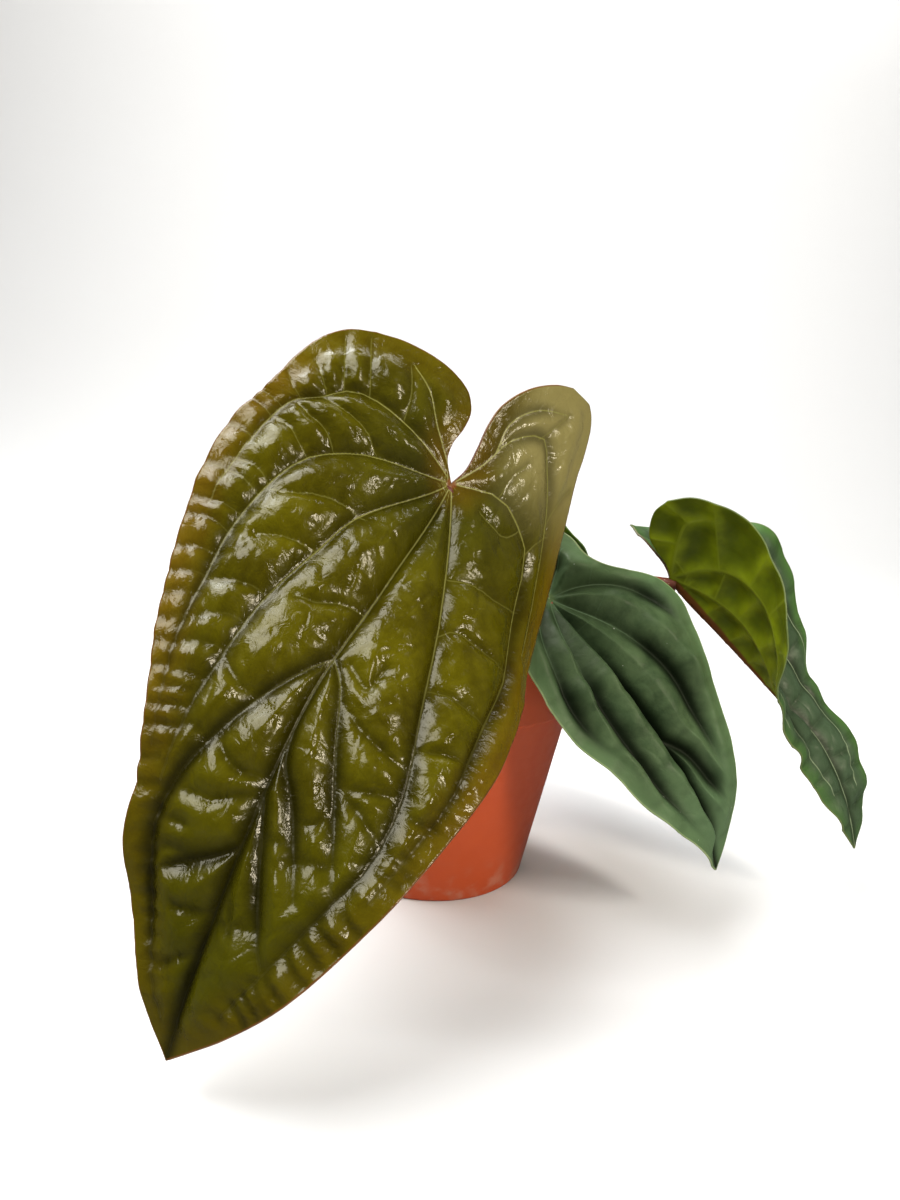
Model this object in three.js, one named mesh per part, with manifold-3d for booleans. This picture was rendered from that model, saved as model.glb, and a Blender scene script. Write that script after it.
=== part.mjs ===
// Potted anthurium hybrid: four quilted leaf blades on their stalks, a short stem, the potting mix and a
// moulded nursery pot. Millimetres, +Z up, origin at the centre of the pot's underside.
// The front of the plant faces -Y.
import * as THREE from 'three';
import * as BufferGeometryUtils from 'three/addons/utils/BufferGeometryUtils.js';
import Module from 'manifold-3d';

const wasm = await Module();
wasm.setup();

// Driving dimensions

const GAP = 0.3;                 // clearance between touching pieces
const BLADE_THICKNESS = 0.8;
const SIDES_ROUND = 48;          // facets round the pot

const POT = {
  rimRadius: 60, height: 106, lipHeight: 3.5, lipWidth: 2.2,
  collarHeight: 26, collarRadius: 57.8, bodyTopRadius: 56, baseRadius: 43.5,
  wall: 1.5, floor: 2, footHeight: 1.5, footWidth: 5,
  drainHoles: 8, drainRadius: 4, drainCircle: 27,
};
const MIX = { surface: 98.5, mound: 2.5, chunkHeight: 2.2, chunkSize: 8, rings: 12, spokes: 48 };
const STEM = { radius: 7, bottom: 58, top: 112, tip: 119, nodeStep: 9, nodeRise: 0.8 };
const STALK = { radius: 1.9, baseRadius: 3.1, kneeRadius: 2.7, kneeLength: 11, sides: 10, step: 6,
  seat: 4 };

// Each blade lies on a curved sheet. Its chart has s along the midrib, 0 where the stalk joins it, growing
// to the tip and negative in the basal lobes, and t across, counted outwards on either side.
//   midrib    points from the stalk joint to the tip
//   lobe      vector from the joint to the end of the lobes
//   roll      rows [s, degrees] that turn the sheet about the midrib
//   left      rows [s, degrees, degrees per mm]: how steeply that half rises at the midrib, and how it curls
//   outline   points [s, t] from the joint round the lobe to the tip; lobeEnd is the lobe's far corner
//   veins     points [s, t] of the main veins sunk into the upper face
const BLADES = {
  leaf_1: {
    colour: 0x5a5a16, lengthwise: 42, across: 12,
    midrib: [[-3, -56, 171], [-21, -92, 139], [-38, -123, 111], [-52, -150, 70], [-66, -167, 14]],
    lobe: [12.5, 24, 50], recurve: { left: 0.004, right: 0 },
    roll: [[-57, 50], [0, 50], [57, 38], [114, 24], [207, 14]],
    left: [[-57, 6, 0.52], [0, 6, 0.47], [105, 6, 0.37], [207, 6, 0.37]],
    right: [[-57, 6, 0.73], [0, 6, 0.68], [105, 6, 0.37], [207, 6, 0.37]],
    relief: { main: 2.8, mainWidth: 4, cross: 0.42, crossWidth: 2.6, spacing: 11, wave: 1.1,
      waveLength: 36 },
    outline: {
      left: [
        [0, 0], [-7.5, 5], [-14, 5.5], [-22, 3], [-29.5, 2], [-36, 5], [-41.5, 14.5], [-44, 29.5],
        [-43.5, 44.5], [-40, 56], [-30.5, 64.5], [-15, 69.5], [5, 72], [29.5, 75], [49.5, 72],
        [71, 65.5], [93, 55], [116, 43.5], [138, 36], [155, 32.5], [169, 26.5], [185, 17],
        [198.5, 8.5], [207, 0],
      ],
      right: [
        [0, 0], [-7.5, 3], [-16, 4], [-25.5, 5], [-35, 8], [-45, 16], [-53, 27], [-58, 38], [-57, 48],
        [-46, 54], [-28, 55], [-7.5, 58.5], [11.5, 62], [38, 62.5], [66.5, 63], [95, 61],
        [119.5, 55.5], [141.5, 47.5], [160.5, 39], [177.5, 29.5], [192, 17], [201.5, 6.5], [207, 0],
      ],
    },
    lobeEnd: { left: 8, right: 7 },
    veins: {
      left: [
        [[0, 0], [35, 20], [54, 24.5], [78, 28.5], [99, 29.5], [115, 30.5], [135, 29.5]],
        [[0, 0], [11.5, 28.5], [21, 40], [29.5, 46.5], [43.5, 50.5], [64.5, 51.5], [80, 48.5],
          [96, 45.5], [115, 40], [127.5, 36]],
        [[0, 0], [-11.5, 24], [-16, 39], [-14, 47.5], [-6.5, 53], [4, 61], [20, 64.5], [43, 64.5],
          [59, 62.5]],
        [[0, 0], [-17, 12.5], [-27.5, 18], [-36, 26.5]],
        [[82.5, 0], [97, 9.5], [113, 18], [127.5, 24], [138.5, 26.5], [148, 26.5], [162.5, 22],
          [183.5, 13.5], [196.5, 5]],
        [[144.5, 0], [149, 5.5], [154, 14], [159.5, 23]],
      ],
      right: [
        [[0, 0], [32.5, 15], [55, 23], [72, 28.5], [97, 35], [118, 38], [138, 36], [148, 31.5],
          [172, 21], [187, 14]],
        [[0, 0], [-5.5, 19], [-3, 27.5], [3, 40], [19, 45.5], [43.5, 51.5], [69.5, 51.5],
          [104.5, 51.5], [120.5, 48.5], [145.5, 40]],
        [[0, 0], [-14, 9.5], [-24, 15], [-30.5, 24], [-31.5, 30.5], [-24.5, 35], [-17, 40],
          [-7.5, 45.5], [13.5, 53], [32.5, 55]],
        [[-18, 11.5], [-30.5, 13.5], [-40, 23], [-44.5, 36]],
        [[82.5, 0], [90, 6.5], [107.5, 13.5], [119, 18], [134, 24], [147, 29.5]],
        [[107.5, 0], [118, 2], [128, 8.5], [138, 13.5], [152, 21]],
        [[128, 0], [136, 3], [148, 7.5], [161.5, 13.5], [172, 20]],
      ],
    },
  },
  leaf_2: {
    colour: 0x3f5f4a, lengthwise: 26, across: 9,
    midrib: [[40, -20, 125], [63, -32, 104], [83, -41, 83], [105, -46, 54], [117, -44, 27]],
    lobe: [-11, 18, 21], recurve: { left: 0, right: 0 },
    roll: [[-32, -28], [0, -30], [60, -39], [130, -48]],
    left: [[-30, 24, 0.4], [0, 20, 0.4], [130, 14, 0.3]],
    right: [[-30, 24, 0.4], [0, 20, 0.4], [130, 14, 0.3]],
    relief: { main: 2.6, mainWidth: 5, cross: 0.25, crossWidth: 3.5, spacing: 13, wave: 0.6,
      waveLength: 30 },
    outline: {
      left: [
        [0, 0], [-6, 2.5], [-13, 3], [-20, 5], [-25, 11], [-26, 17], [-22, 22], [-13, 24.5], [-2, 28],
        [10, 33], [24, 36.5], [38, 37], [52, 35], [66, 31.5], [80, 28], [94, 23], [107, 16.5],
        [119, 9], [130, 0],
      ],
      right: [
        [0, 0], [-6, 2], [-13, 2], [-20, 4], [-25, 9], [-25, 14], [-19, 18], [-9, 21], [1, 27],
        [11, 35], [22, 41.5], [32, 42.5], [44, 39], [57, 33.5], [70, 30], [83, 26], [96, 20.5],
        [109, 16], [121, 10.5], [130, 0],
      ],
    },
    lobeEnd: { left: 5, right: 5 },
    veins: {
      left: [
        [[0, 0], [22, 11], [45, 16], [68, 17], [90, 15], [108, 11], [120, 6]],
        [[0, 0], [8, 14], [20, 23], [38, 28], [56, 28], [72, 25]],
        [[0, 0], [-10, 9], [-14, 16]],
      ],
      right: [
        [[0, 0], [18, 10], [34, 16], [50, 19], [66, 18], [84, 16], [104, 12]],
        [[0, 0], [2, 12], [9, 23], [20, 31], [34, 34], [48, 32]],
        [[0, 0], [-10, 8], [-15, 13]],
        [[70, 0], [80, 6], [94, 9], [108, 11]],
      ],
    },
  },
  leaf_3: {
    colour: 0x4a6230, lengthwise: 26, across: 9,
    midrib: [[91, 0, 135], [110, -3, 118.5], [129, -6, 101.5], [144, -10, 88], [159, -14, 75],
      [171, -18, 56], [181, -20, 30]],
    lobe: [-21, 3, 20], recurve: { left: 0, right: 0 },
    roll: [[-30, 0], [0, 0], [60, -2], [90, -8], [110, -13], [141, -13]],
    left: [[-30, 62, 0.35], [0, 72, 0.45], [26, 62, 0.75], [44, 42, 0.8], [60, 24, 0.8],
      [74, 6, 0.6], [100, -18, 0.3], [141, -20, 0.3]],
    right: [[-30, -8, 0.3], [-5, 28, 0.25], [12, 60, 0.12], [30, 58, 0.12], [46, 50, 0.15],
      [60, 40, 0.3], [80, 24, 0.4], [104, 20, 0.3], [141, 20, 0.3]],
    relief: { main: 2, mainWidth: 5, cross: 0.25, crossWidth: 3.5, spacing: 12, wave: 0.8,
      waveLength: 26 },
    outline: {
      left: [
        [0, 0], [-6, 2], [-13, 2.5], [-20, 5], [-26, 13], [-27, 22], [-22, 32], [-12, 39], [2, 43],
        [16, 44], [34, 42], [54, 36], [74, 27], [94, 19.5], [112, 14.5], [128, 8.5], [141, 0],
      ],
      right: [
        [0, 0], [-6, 2], [-13, 2.5], [-20, 5], [-25, 13], [-25, 21], [-21, 30], [-12, 38], [2, 45],
        [16, 48], [34, 46], [54, 37], [74, 26], [94, 21], [112, 18.5], [128, 12.5], [141, 0],
      ],
    },
    lobeEnd: { left: 5, right: 5 },
    veins: {
      left: [
        [[0, 0], [22, 10], [46, 15], [70, 15], [94, 12], [114, 7]],
        [[0, 0], [6, 15], [18, 26], [36, 30], [56, 28], [74, 22]],
        [[0, 0], [-10, 12], [-15, 22], [-10, 30]],
      ],
      right: [
        [[0, 0], [22, 10], [46, 16], [70, 17], [94, 14], [116, 8]],
        [[0, 0], [6, 15], [18, 27], [36, 33], [56, 31], [78, 25]],
        [[0, 0], [-10, 12], [-15, 22], [-10, 30]],
      ],
    },
  },
  leaf_4: {
    colour: 0x3d5c20, lengthwise: 16, across: 7,
    midrib: [[28, 20, 142], [36, 40, 124], [43, 57, 95], [46, 66, 58]],
    lobe: [-5, -8, 16], recurve: { left: 0, right: 0 },
    roll: [[-20, 0], [0, 0], [94, 0]],
    left: [[-20, 12, 0.5], [0, 12, 0.5], [94, 8, 0.4]],
    right: [[-20, 12, 0.5], [0, 12, 0.5], [94, 8, 0.4]],
    relief: { main: 1.8, mainWidth: 4, cross: 0.2, crossWidth: 3, spacing: 12, wave: 0.5,
      waveLength: 24 },
    outline: {
      left: [
        [0, 0], [-5, 1.6], [-10, 1.8], [-15, 4], [-18, 9], [-17, 15], [-13, 20], [-6, 24.5], [4, 27.5],
        [16, 28.5], [30, 27], [44, 23], [60, 18], [75, 12], [89, 6], [100, 0],
      ],
      right: [
        [0, 0], [-5, 1.6], [-10, 1.8], [-15, 4], [-18, 9], [-17, 15], [-13, 20], [-6, 24.5], [4, 27.5],
        [16, 28.5], [30, 27], [44, 23], [60, 18], [75, 12], [89, 6], [100, 0],
      ],
    },
    lobeEnd: { left: 4, right: 4 },
    veins: {
      left: [
        [[0, 0], [16, 8], [34, 12], [54, 11], [74, 7]],
        [[0, 0], [5, 10], [14, 18], [30, 19], [44, 16]],
      ],
      right: [
        [[0, 0], [16, 8], [34, 12], [54, 11], [74, 7]],
        [[0, 0], [5, 10], [14, 18], [30, 19], [44, 16]],
      ],
    },
  },
};

const CROSS_VEIN_SEED = { left: 10, right: 700 };

// Stalks: points from inside the stem to just short of the blade, which closes the path itself
const STALKS = {
  petiole_1: {
    blade: 'leaf_1', scale: 1.2,
    points: [[-3, -2, 105], [-9, -2, 121], [-10, -14, 146], [-7, -38, 165]],
  },
  petiole_2: {
    blade: 'leaf_2', scale: 1,
    points: [[4, -3, 104], [15, -6, 107], [27, -7, 112], [36, -12, 119]],
  },
  petiole_3: {
    blade: 'leaf_3', scale: 1,
    points: [[4, 3, 107], [22, 10, 118], [48, 9, 127], [74, 4, 131]],
  },
  petiole_4: {
    blade: 'leaf_4', scale: 0.9,
    points: [[-2, 4, 108], [2, 13, 120], [13, 18, 133]],
  },
};

// Small mathematics

const radians = (degrees) => degrees * Math.PI / 180;
const clamp = (x, low, high) => Math.min(Math.max(x, low), high);

function smoothstep(low, high, x) {
  const u = clamp((x - low) / (high - low), 0, 1);
  return u * u * (3 - 2 * u);
}

// A repeatable scatter value between 0 and 1 for a whole number
function scatter(n) {
  const x = Math.sin(n * 12.9898 + 4.1414) * 43758.5453;
  return x - Math.floor(x);
}

// Smooth curve through rows [x, value...]: cubic between rows, level past the ends
function smooth(rows, x, column = 1) {
  const last = rows.length - 1;
  const slope = (i) => {
    const a = rows[Math.max(i - 1, 0)];
    const b = rows[Math.min(i + 1, last)];
    return (b[column] - a[column]) / (b[0] - a[0]);
  };
  const at = clamp(x, rows[0][0], rows[last][0]);
  let i = 0;
  while (i < last - 1 && at >= rows[i + 1][0]) i += 1;
  const width = rows[i + 1][0] - rows[i][0];
  const u = (at - rows[i][0]) / width;
  return (2 * u ** 3 - 3 * u ** 2 + 1) * rows[i][column] + (u ** 3 - 2 * u ** 2 + u) * width * slope(i)
    + (3 * u ** 2 - 2 * u ** 3) * rows[i + 1][column] + (u ** 3 - u ** 2) * width * slope(i + 1);
}

// Evenly spaced points on a smooth curve through the given points, in two or three dimensions
function curvePoints(points, count) {
  const rows = [[0, ...points[0]]];
  for (let i = 1; i < points.length; i += 1) {
    const step = Math.hypot(...points[i].map((value, axis) => value - points[i - 1][axis]));
    rows.push([rows[i - 1][0] + step, ...points[i]]);
  }
  const whole = rows[rows.length - 1][0];
  return Array.from({ length: count }, (_, n) => points[0].map(
    (_, axis) => smooth(rows, whole * n / (count - 1), axis + 1)));
}

function distanceToLines(lines, s, t) {
  let best = Infinity;
  for (const line of lines) {
    for (let i = 1; i < line.length; i += 1) {
      const [ax, ay] = line[i - 1];
      const dx = line[i][0] - ax;
      const dy = line[i][1] - ay;
      const u = clamp(((s - ax) * dx + (t - ay) * dy) / (dx * dx + dy * dy), 0, 1);
      best = Math.min(best, Math.hypot(s - ax - u * dx, t - ay - u * dy));
    }
  }
  return best;
}

function inside(outline, s, t) {
  let within = false;
  for (let i = 0, j = outline.length - 1; i < outline.length; j = i, i += 1) {
    const [si, ti] = outline[i];
    const [sj, tj] = outline[j];
    if ((ti > t) !== (tj > t) && s < (sj - si) * (t - ti) / (tj - ti) + si) within = !within;
  }
  return within;
}

// The leaf sheet

// Midrib positions and turned frames, sampled along the chart's s axis
function midribFrames(blade) {
  const joint = new THREE.Vector3(...blade.midrib[0]);
  const start = joint.clone().add(new THREE.Vector3(...blade.lobe));
  const points = curvePoints([start.toArray(), ...blade.midrib], 401).map((p) => new THREE.Vector3(...p));
  const along = [0];
  for (let i = 1; i < points.length; i += 1) along.push(along[i - 1] + points[i].distanceTo(points[i - 1]));
  const distances = points.map((p) => p.distanceTo(joint));
  const atJoint = along[distances.indexOf(Math.min(...distances))];
  const up = new THREE.Vector3(0, 0, 1);
  return points.map((point, i) => {
    const before = points[Math.max(i - 1, 0)];
    const after = points[Math.min(i + 1, points.length - 1)];
    const s = along[i] - atJoint;
    const forward = after.clone().sub(before).normalize();
    const level = forward.clone().cross(up).normalize();
    const normal = level.clone().cross(forward);
    const roll = radians(smooth(blade.roll, s));
    return {
      s, point,
      aside: level.clone().multiplyScalar(Math.cos(roll)).addScaledVector(normal, Math.sin(roll)),
      normal: normal.multiplyScalar(Math.cos(roll)).addScaledVector(level, -Math.sin(roll)),
    };
  });
}

function frameAt(frames, s) {
  const at = clamp(s, frames[0].s, frames[frames.length - 1].s);
  let low = 0;
  let high = frames.length - 1;
  while (high - low > 1) {
    const middle = (low + high) >> 1;
    if (frames[middle].s <= at) low = middle; else high = middle;
  }
  const u = (at - frames[low].s) / (frames[high].s - frames[low].s);
  const mix = (key) => frames[low][key].clone().lerp(frames[high][key], u);
  return { point: mix('point'), aside: mix('aside'), normal: mix('normal') };
}

// Point of the sheet at (s, t) on one side, raised along its normal there
function sheetPoint(blade, frames, side, s, t, raise) {
  const sign = side === 'left' ? 1 : -1;
  const { point, aside, normal } = frameAt(frames, s);
  if (t === 0) return point.addScaledVector(normal, raise);
  const rise = radians(smooth(blade[side], s, 1));
  const curl = radians(smooth(blade[side], s, 2));
  const angle = rise - curl * t;
  const out = (Math.sin(rise) - Math.sin(angle)) / curl;
  const lift = (Math.cos(angle) - Math.cos(rise)) / curl;
  const up = normal.clone().multiplyScalar(Math.cos(angle)).addScaledVector(aside,
    -sign * Math.sin(angle));
  const height = raise - blade.recurve[side] * Math.min(s, 0) ** 2;
  return point.addScaledVector(aside, sign * out).addScaledVector(normal, lift).addScaledVector(up,
    height);
}

// Cross veins step off each main vein on its outer side and run until they meet another vein or the margin
function crossVeins(main, outline, spacing, seed) {
  const stride = 1.5;
  const longest = 34;
  const crossings = [];
  let n = seed;
  for (const vein of main) {
    const points = curvePoints(vein, 60);
    let travelled = spacing * 0.6;
    for (let i = 1; i < points.length - 3; i += 1) {
      const ds = points[i][0] - points[i - 1][0];
      const dt = points[i][1] - points[i - 1][1];
      travelled += Math.hypot(ds, dt);
      if (travelled < spacing) continue;
      n += 1;
      travelled = spacing * 0.35 * (scatter(n) - 0.5);
      const heading = Math.atan2(ds, -dt);
      const turn = 0.5 * (scatter(n + 0.5) - 0.5);
      const line = [points[i]];
      const others = main.filter((other) => other !== vein);
      for (let k = 1; k * stride < longest; k += 1) {
        const angle = heading + turn * (1 - k * stride / longest);
        const [s, t] = line[line.length - 1];
        const next = [s + stride * Math.cos(angle), t + stride * Math.sin(angle)];
        if (!inside(outline, ...next)) break;
        line.push(next);
        if (distanceToLines(others, ...next) < stride && k > 2) break;
      }
      if (line.length > 3) crossings.push(line);
    }
  }
  return crossings;
}

// Height of the quilted upper face: sharp grooves along the veins, domed cells between them
function quilting(blade, side) {
  const outline = curvePoints(blade.outline[side], 140);
  const tip = outline[outline.length - 1];
  const main = blade.veins[side].map((vein) => curvePoints(vein, 24));
  const midrib = [[0, 0], tip];
  const ridged = [...main, midrib];
  const { spacing } = blade.relief;
  const crossings = crossVeins([...blade.veins[side], midrib], outline, spacing, CROSS_VEIN_SEED[side]);
  const shape = blade.relief;
  return (s, t) => {
    const fromMain = distanceToLines(ridged, s, t);
    const fromCross = distanceToLines(crossings, s, t);
    const fromEdge = distanceToLines([outline], s, t);
    const dome = 1 - Math.exp(-fromMain / shape.mainWidth);
    const cell = 1 - shape.cross * Math.exp(-fromCross / shape.crossWidth);
    const edge = 0.35 + 0.65 * smoothstep(0, 8, fromEdge);
    const wave = shape.wave * (1 - smoothstep(0, 16, fromEdge)) * smoothstep(0, 12, t)
      * Math.sin(2 * Math.PI * s / shape.waveLength + (side === 'left' ? 0 : 2));
    return shape.main * dome * cell * edge + wave;
  };
}

// Chart points of one half blade: a patch between the midrib, the outer margin and the sinus margin
function chartPatch(blade, side, rows, columns) {
  const outline = blade.outline[side];
  const sinus = curvePoints(outline.slice(0, blade.lobeEnd[side] + 1), columns + 1);
  const margin = curvePoints(outline.slice(blade.lobeEnd[side]).reverse(), rows + 1);
  const tip = margin[0][0];
  const corner = sinus[columns];
  return (i, j) => {
    const u = i / rows;
    const v = j / columns;
    const inner = tip * (1 - u);
    return [0, 1].map((axis) => (1 - v) * (axis === 0 ? inner : 0) + v * margin[i][axis]
      + u * sinus[j][axis] - u * v * corner[axis]);
  };
}

// Closed blade between an upper face and a lower one, split into the same triangles
function bladeGeometry(blade) {
  const frames = midribFrames(blade);
  const rows = blade.lengthwise;
  const columns = blade.across;
  const upper = [];
  const lower = [];
  const index = new Map();
  const place = (key, s, t, side, height) => {
    const fold = (smooth(blade.left, s) + smooth(blade.right, s)) / 2;
    const mitre = t === 0 ? 1 / Math.cos(radians(fold)) : 1;
    index.set(key, upper.length);
    upper.push(sheetPoint(blade, frames, side, s, t, height));
    lower.push(sheetPoint(blade, frames, side, s, t, height - BLADE_THICKNESS * mitre));
  };
  for (const side of ['left', 'right']) {
    const chart = chartPatch(blade, side, rows, columns);
    const height = quilting(blade, side);
    for (let i = 0; i <= rows; i += 1) {
      for (let j = 0; j <= columns; j += 1) {
        const shared = i === 0 ? 'tip' : `rib ${i}`;
        const onMidrib = i === 0 || j === 0;
        const key = onMidrib ? shared : `${side} ${i} ${j}`;
        if (index.has(key)) continue;
        const [s, t] = chart(i, j);
        place(key, s, onMidrib ? 0 : t, side, onMidrib ? 0 : height(s, t));
      }
    }
  }
  const at = (side, i, j) => {
    if (i === 0) return index.get('tip');
    return index.get(j === 0 ? `rib ${i}` : `${side} ${i} ${j}`);
  };
  const faces = [];
  for (const side of ['left', 'right']) {
    for (let i = 0; i < rows; i += 1) {
      for (let j = 0; j < columns; j += 1) {
        const quad = [at(side, i, j), at(side, i + 1, j), at(side, i + 1, j + 1), at(side, i, j + 1)];
        if (side === 'right') quad.reverse();
        const corners = quad.filter((corner, k) => corner !== quad[(k + 1) % 4]);
        for (let k = 2; k < corners.length; k += 1) faces.push([corners[0], corners[k - 1], corners[k]]);
      }
    }
  }
  const loop = [at('left', 0, 0)];
  for (let i = 1; i <= rows; i += 1) loop.push(at('left', i, columns));
  for (let j = columns - 1; j >= 0; j -= 1) loop.push(at('left', rows, j));
  for (let j = 1; j <= columns; j += 1) loop.push(at('right', rows, j));
  for (let i = rows - 1; i >= 1; i -= 1) loop.push(at('right', i, columns));
  const count = upper.length;
  const triangles = [];
  for (const [a, b, c] of faces) triangles.push(a, b, c, count + a, count + c, count + b);
  loop.forEach((a, k) => {
    const b = loop[(k + 1) % loop.length];
    triangles.push(a, b, count + b, a, count + b, count + a);
  });
  return geometryFrom([...upper, ...lower].flatMap((p) => p.toArray()), triangles);
}

// Geometry and solids

function geometryFrom(positions, triangles) {
  const geometry = new THREE.BufferGeometry();
  geometry.setAttribute('position', new THREE.Float32BufferAttribute(positions, 3));
  geometry.setIndex([...triangles]);
  return geometry;
}

function solidFrom(geometry) {
  const bare = geometry.clone();
  bare.deleteAttribute('normal');
  bare.deleteAttribute('uv');
  const merged = BufferGeometryUtils.mergeVertices(bare, 1e-4);
  return new wasm.Manifold(new wasm.Mesh({
    numProp: 3,
    vertProperties: new Float32Array(merged.attributes.position.array),
    triVerts: new Uint32Array(merged.index.array),
  }));
}

function largestPart(solid) {
  return solid.decompose().sort((a, b) => b.volume() - a.volume())[0];
}

function meshFrom(name, solid, material) {
  const { vertProperties, triVerts } = solid.getMesh();
  const mesh = new THREE.Mesh(geometryFrom(vertProperties, triVerts), material);
  mesh.name = name;
  return mesh;
}

// A solid of revolution about Z from points [radius, height], first and last on the axis or closed on itself
function turned(profile, sides) {
  const points = profile.map(([radius, height]) => new THREE.Vector2(radius, height));
  return new THREE.LatheGeometry(points, sides).rotateX(Math.PI / 2);
}

function cylinder(radius, bottom, top, sides, x = 0, y = 0) {
  const geometry = new THREE.CylinderGeometry(radius, radius, top - bottom, sides).rotateX(Math.PI / 2);
  return geometry.translate(x, y, (top + bottom) / 2);
}

// A round rod along a smooth path, with its radius given along its length
function rod(points, radiusAt, sides) {
  const path = new THREE.CatmullRomCurve3(points, false, 'centripetal');
  const length = path.getLength();
  const steps = Math.round(length / STALK.step);
  const { normals, binormals } = path.computeFrenetFrames(steps, false);
  const positions = [];
  for (let i = 0; i <= steps; i += 1) {
    const centre = path.getPointAt(i / steps);
    for (let k = 0; k < sides; k += 1) {
      const angle = 2 * Math.PI * k / sides;
      const radius = radiusAt(length * i / steps, length);
      positions.push(...centre.clone().addScaledVector(normals[i], radius * Math.cos(angle))
        .addScaledVector(binormals[i], radius * Math.sin(angle)).toArray());
    }
  }
  const triangles = [];
  for (let i = 0; i < steps; i += 1) {
    for (let k = 0; k < sides; k += 1) {
      const a = i * sides + k;
      const b = i * sides + (k + 1) % sides;
      triangles.push(a, b, b + sides, a, b + sides, a + sides);
    }
  }
  const end = steps * sides;
  for (let k = 1; k < sides - 1; k += 1) triangles.push(0, k + 1, k, end, end + k, end + k + 1);
  return geometryFrom(positions, triangles);
}

// Pot

function wallRadius(z) {
  const bodyTop = POT.height - POT.collarHeight;
  if (z <= bodyTop) return POT.baseRadius + (POT.bodyTopRadius - POT.baseRadius) * z / bodyTop;
  const collarTop = POT.rimRadius - POT.lipWidth / 2;
  return POT.collarRadius + (collarTop - POT.collarRadius) * (z - bodyTop) / POT.collarHeight;
}

function potSolid() {
  const { height, collarHeight, wall, floor, lipHeight, lipWidth, footHeight, footWidth } = POT;
  const step = height - collarHeight;
  const foot = POT.baseRadius - footWidth;
  const profile = [
    [0, 0], [foot - 2, 0], [foot - 1, footHeight * 0.6], [foot, 0], [POT.baseRadius - 1, 0],
    [POT.baseRadius, 1], [wallRadius(step - 1), step - 1], [POT.collarRadius, step],
    [wallRadius(height - lipHeight), height - lipHeight], [POT.rimRadius, height - lipHeight + 0.6],
    [POT.rimRadius, height - 0.9], [POT.rimRadius - 0.9, height], [POT.rimRadius - lipWidth, height],
    [wallRadius(height - lipHeight) - wall, height - lipHeight],
    [POT.collarRadius - wall, step], [wallRadius(step - 3) - wall, step - 3],
    [wallRadius(floor) - wall, floor], [0, floor],
  ];
  let pot = solidFrom(turned(profile, SIDES_ROUND));
  for (let k = 0; k < POT.drainHoles; k += 1) {
    const angle = 2 * Math.PI * (k + 0.5) / POT.drainHoles;
    const hole = cylinder(POT.drainRadius, -1, floor + 1, 12,
      POT.drainCircle * Math.cos(angle), POT.drainCircle * Math.sin(angle));
    pot = pot.subtract(solidFrom(hole));
  }
  return pot;
}

// Potting mix: one plug that fills the pot, with a lumpy surface and a plain hole for the stem

function mixHeight(x, y) {
  const nearest = [Infinity, Infinity];
  let lump = 0;
  const cellX = Math.floor(x / MIX.chunkSize);
  const cellY = Math.floor(y / MIX.chunkSize);
  for (let i = cellX - 1; i <= cellX + 1; i += 1) {
    for (let j = cellY - 1; j <= cellY + 1; j += 1) {
      const n = 131 * i + 57 * j;
      const dx = (i + scatter(n)) * MIX.chunkSize - x;
      const dy = (j + scatter(n + 0.3)) * MIX.chunkSize - y;
      const distance = Math.hypot(dx, dy);
      if (distance < nearest[0]) {
        nearest[1] = nearest[0];
        nearest[0] = distance;
        lump = scatter(n + 0.6);
      } else if (distance < nearest[1]) {
        nearest[1] = distance;
      }
    }
  }
  const split = smoothstep(0, 3, nearest[1] - nearest[0]);
  const mound = MIX.mound * (1 - (x * x + y * y) / wallRadius(MIX.surface) ** 2);
  return MIX.surface + mound + MIX.chunkHeight * (lump - 0.5) * split;
}

function mixSolid() {
  const top = MIX.surface - MIX.chunkHeight;
  const step = POT.height - POT.collarHeight;
  const fit = (z) => wallRadius(z) - POT.wall - GAP - 0.4;
  const positions = [0, 0, mixHeight(0, 0)];
  for (let ring = 1; ring <= MIX.rings; ring += 1) {
    for (let k = 0; k < MIX.spokes; k += 1) {
      const angle = 2 * Math.PI * k / MIX.spokes;
      const radius = fit(top) * ring / MIX.rings;
      const x = radius * Math.cos(angle);
      const y = radius * Math.sin(angle);
      positions.push(x, y, ring === MIX.rings ? MIX.surface - MIX.chunkHeight / 2 : mixHeight(x, y));
    }
  }
  for (const [radius, z] of [[fit(step + 0.5) - 0.4, step + 0.5], [fit(step - 3), step - 4],
    [fit(POT.floor), POT.floor + GAP]]) {
    for (let k = 0; k < MIX.spokes; k += 1) {
      const angle = 2 * Math.PI * k / MIX.spokes;
      positions.push(radius * Math.cos(angle), radius * Math.sin(angle), z);
    }
  }
  const triangles = [];
  const vertex = (ring, k) => 1 + (ring - 1) * MIX.spokes + k % MIX.spokes;
  const rings = MIX.rings + 3;
  for (let k = 0; k < MIX.spokes; k += 1) {
    triangles.push(0, vertex(1, k), vertex(1, k + 1));
    for (let ring = 1; ring < rings; ring += 1) {
      triangles.push(vertex(ring, k), vertex(ring + 1, k), vertex(ring + 1, k + 1));
      triangles.push(vertex(ring, k), vertex(ring + 1, k + 1), vertex(ring, k + 1));
    }
    if (k > 0 && k < MIX.spokes - 1) triangles.push(vertex(rings, 0), vertex(rings, k + 1),
      vertex(rings, k));
  }
  const hole = cylinder(STEM.radius + GAP, STEM.bottom - GAP, MIX.surface + 20, 24);
  return solidFrom(geometryFrom(positions, triangles)).subtract(solidFrom(hole));
}

// Stem: a short ringed cane that ends in the pointed sheath of the next leaf

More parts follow.
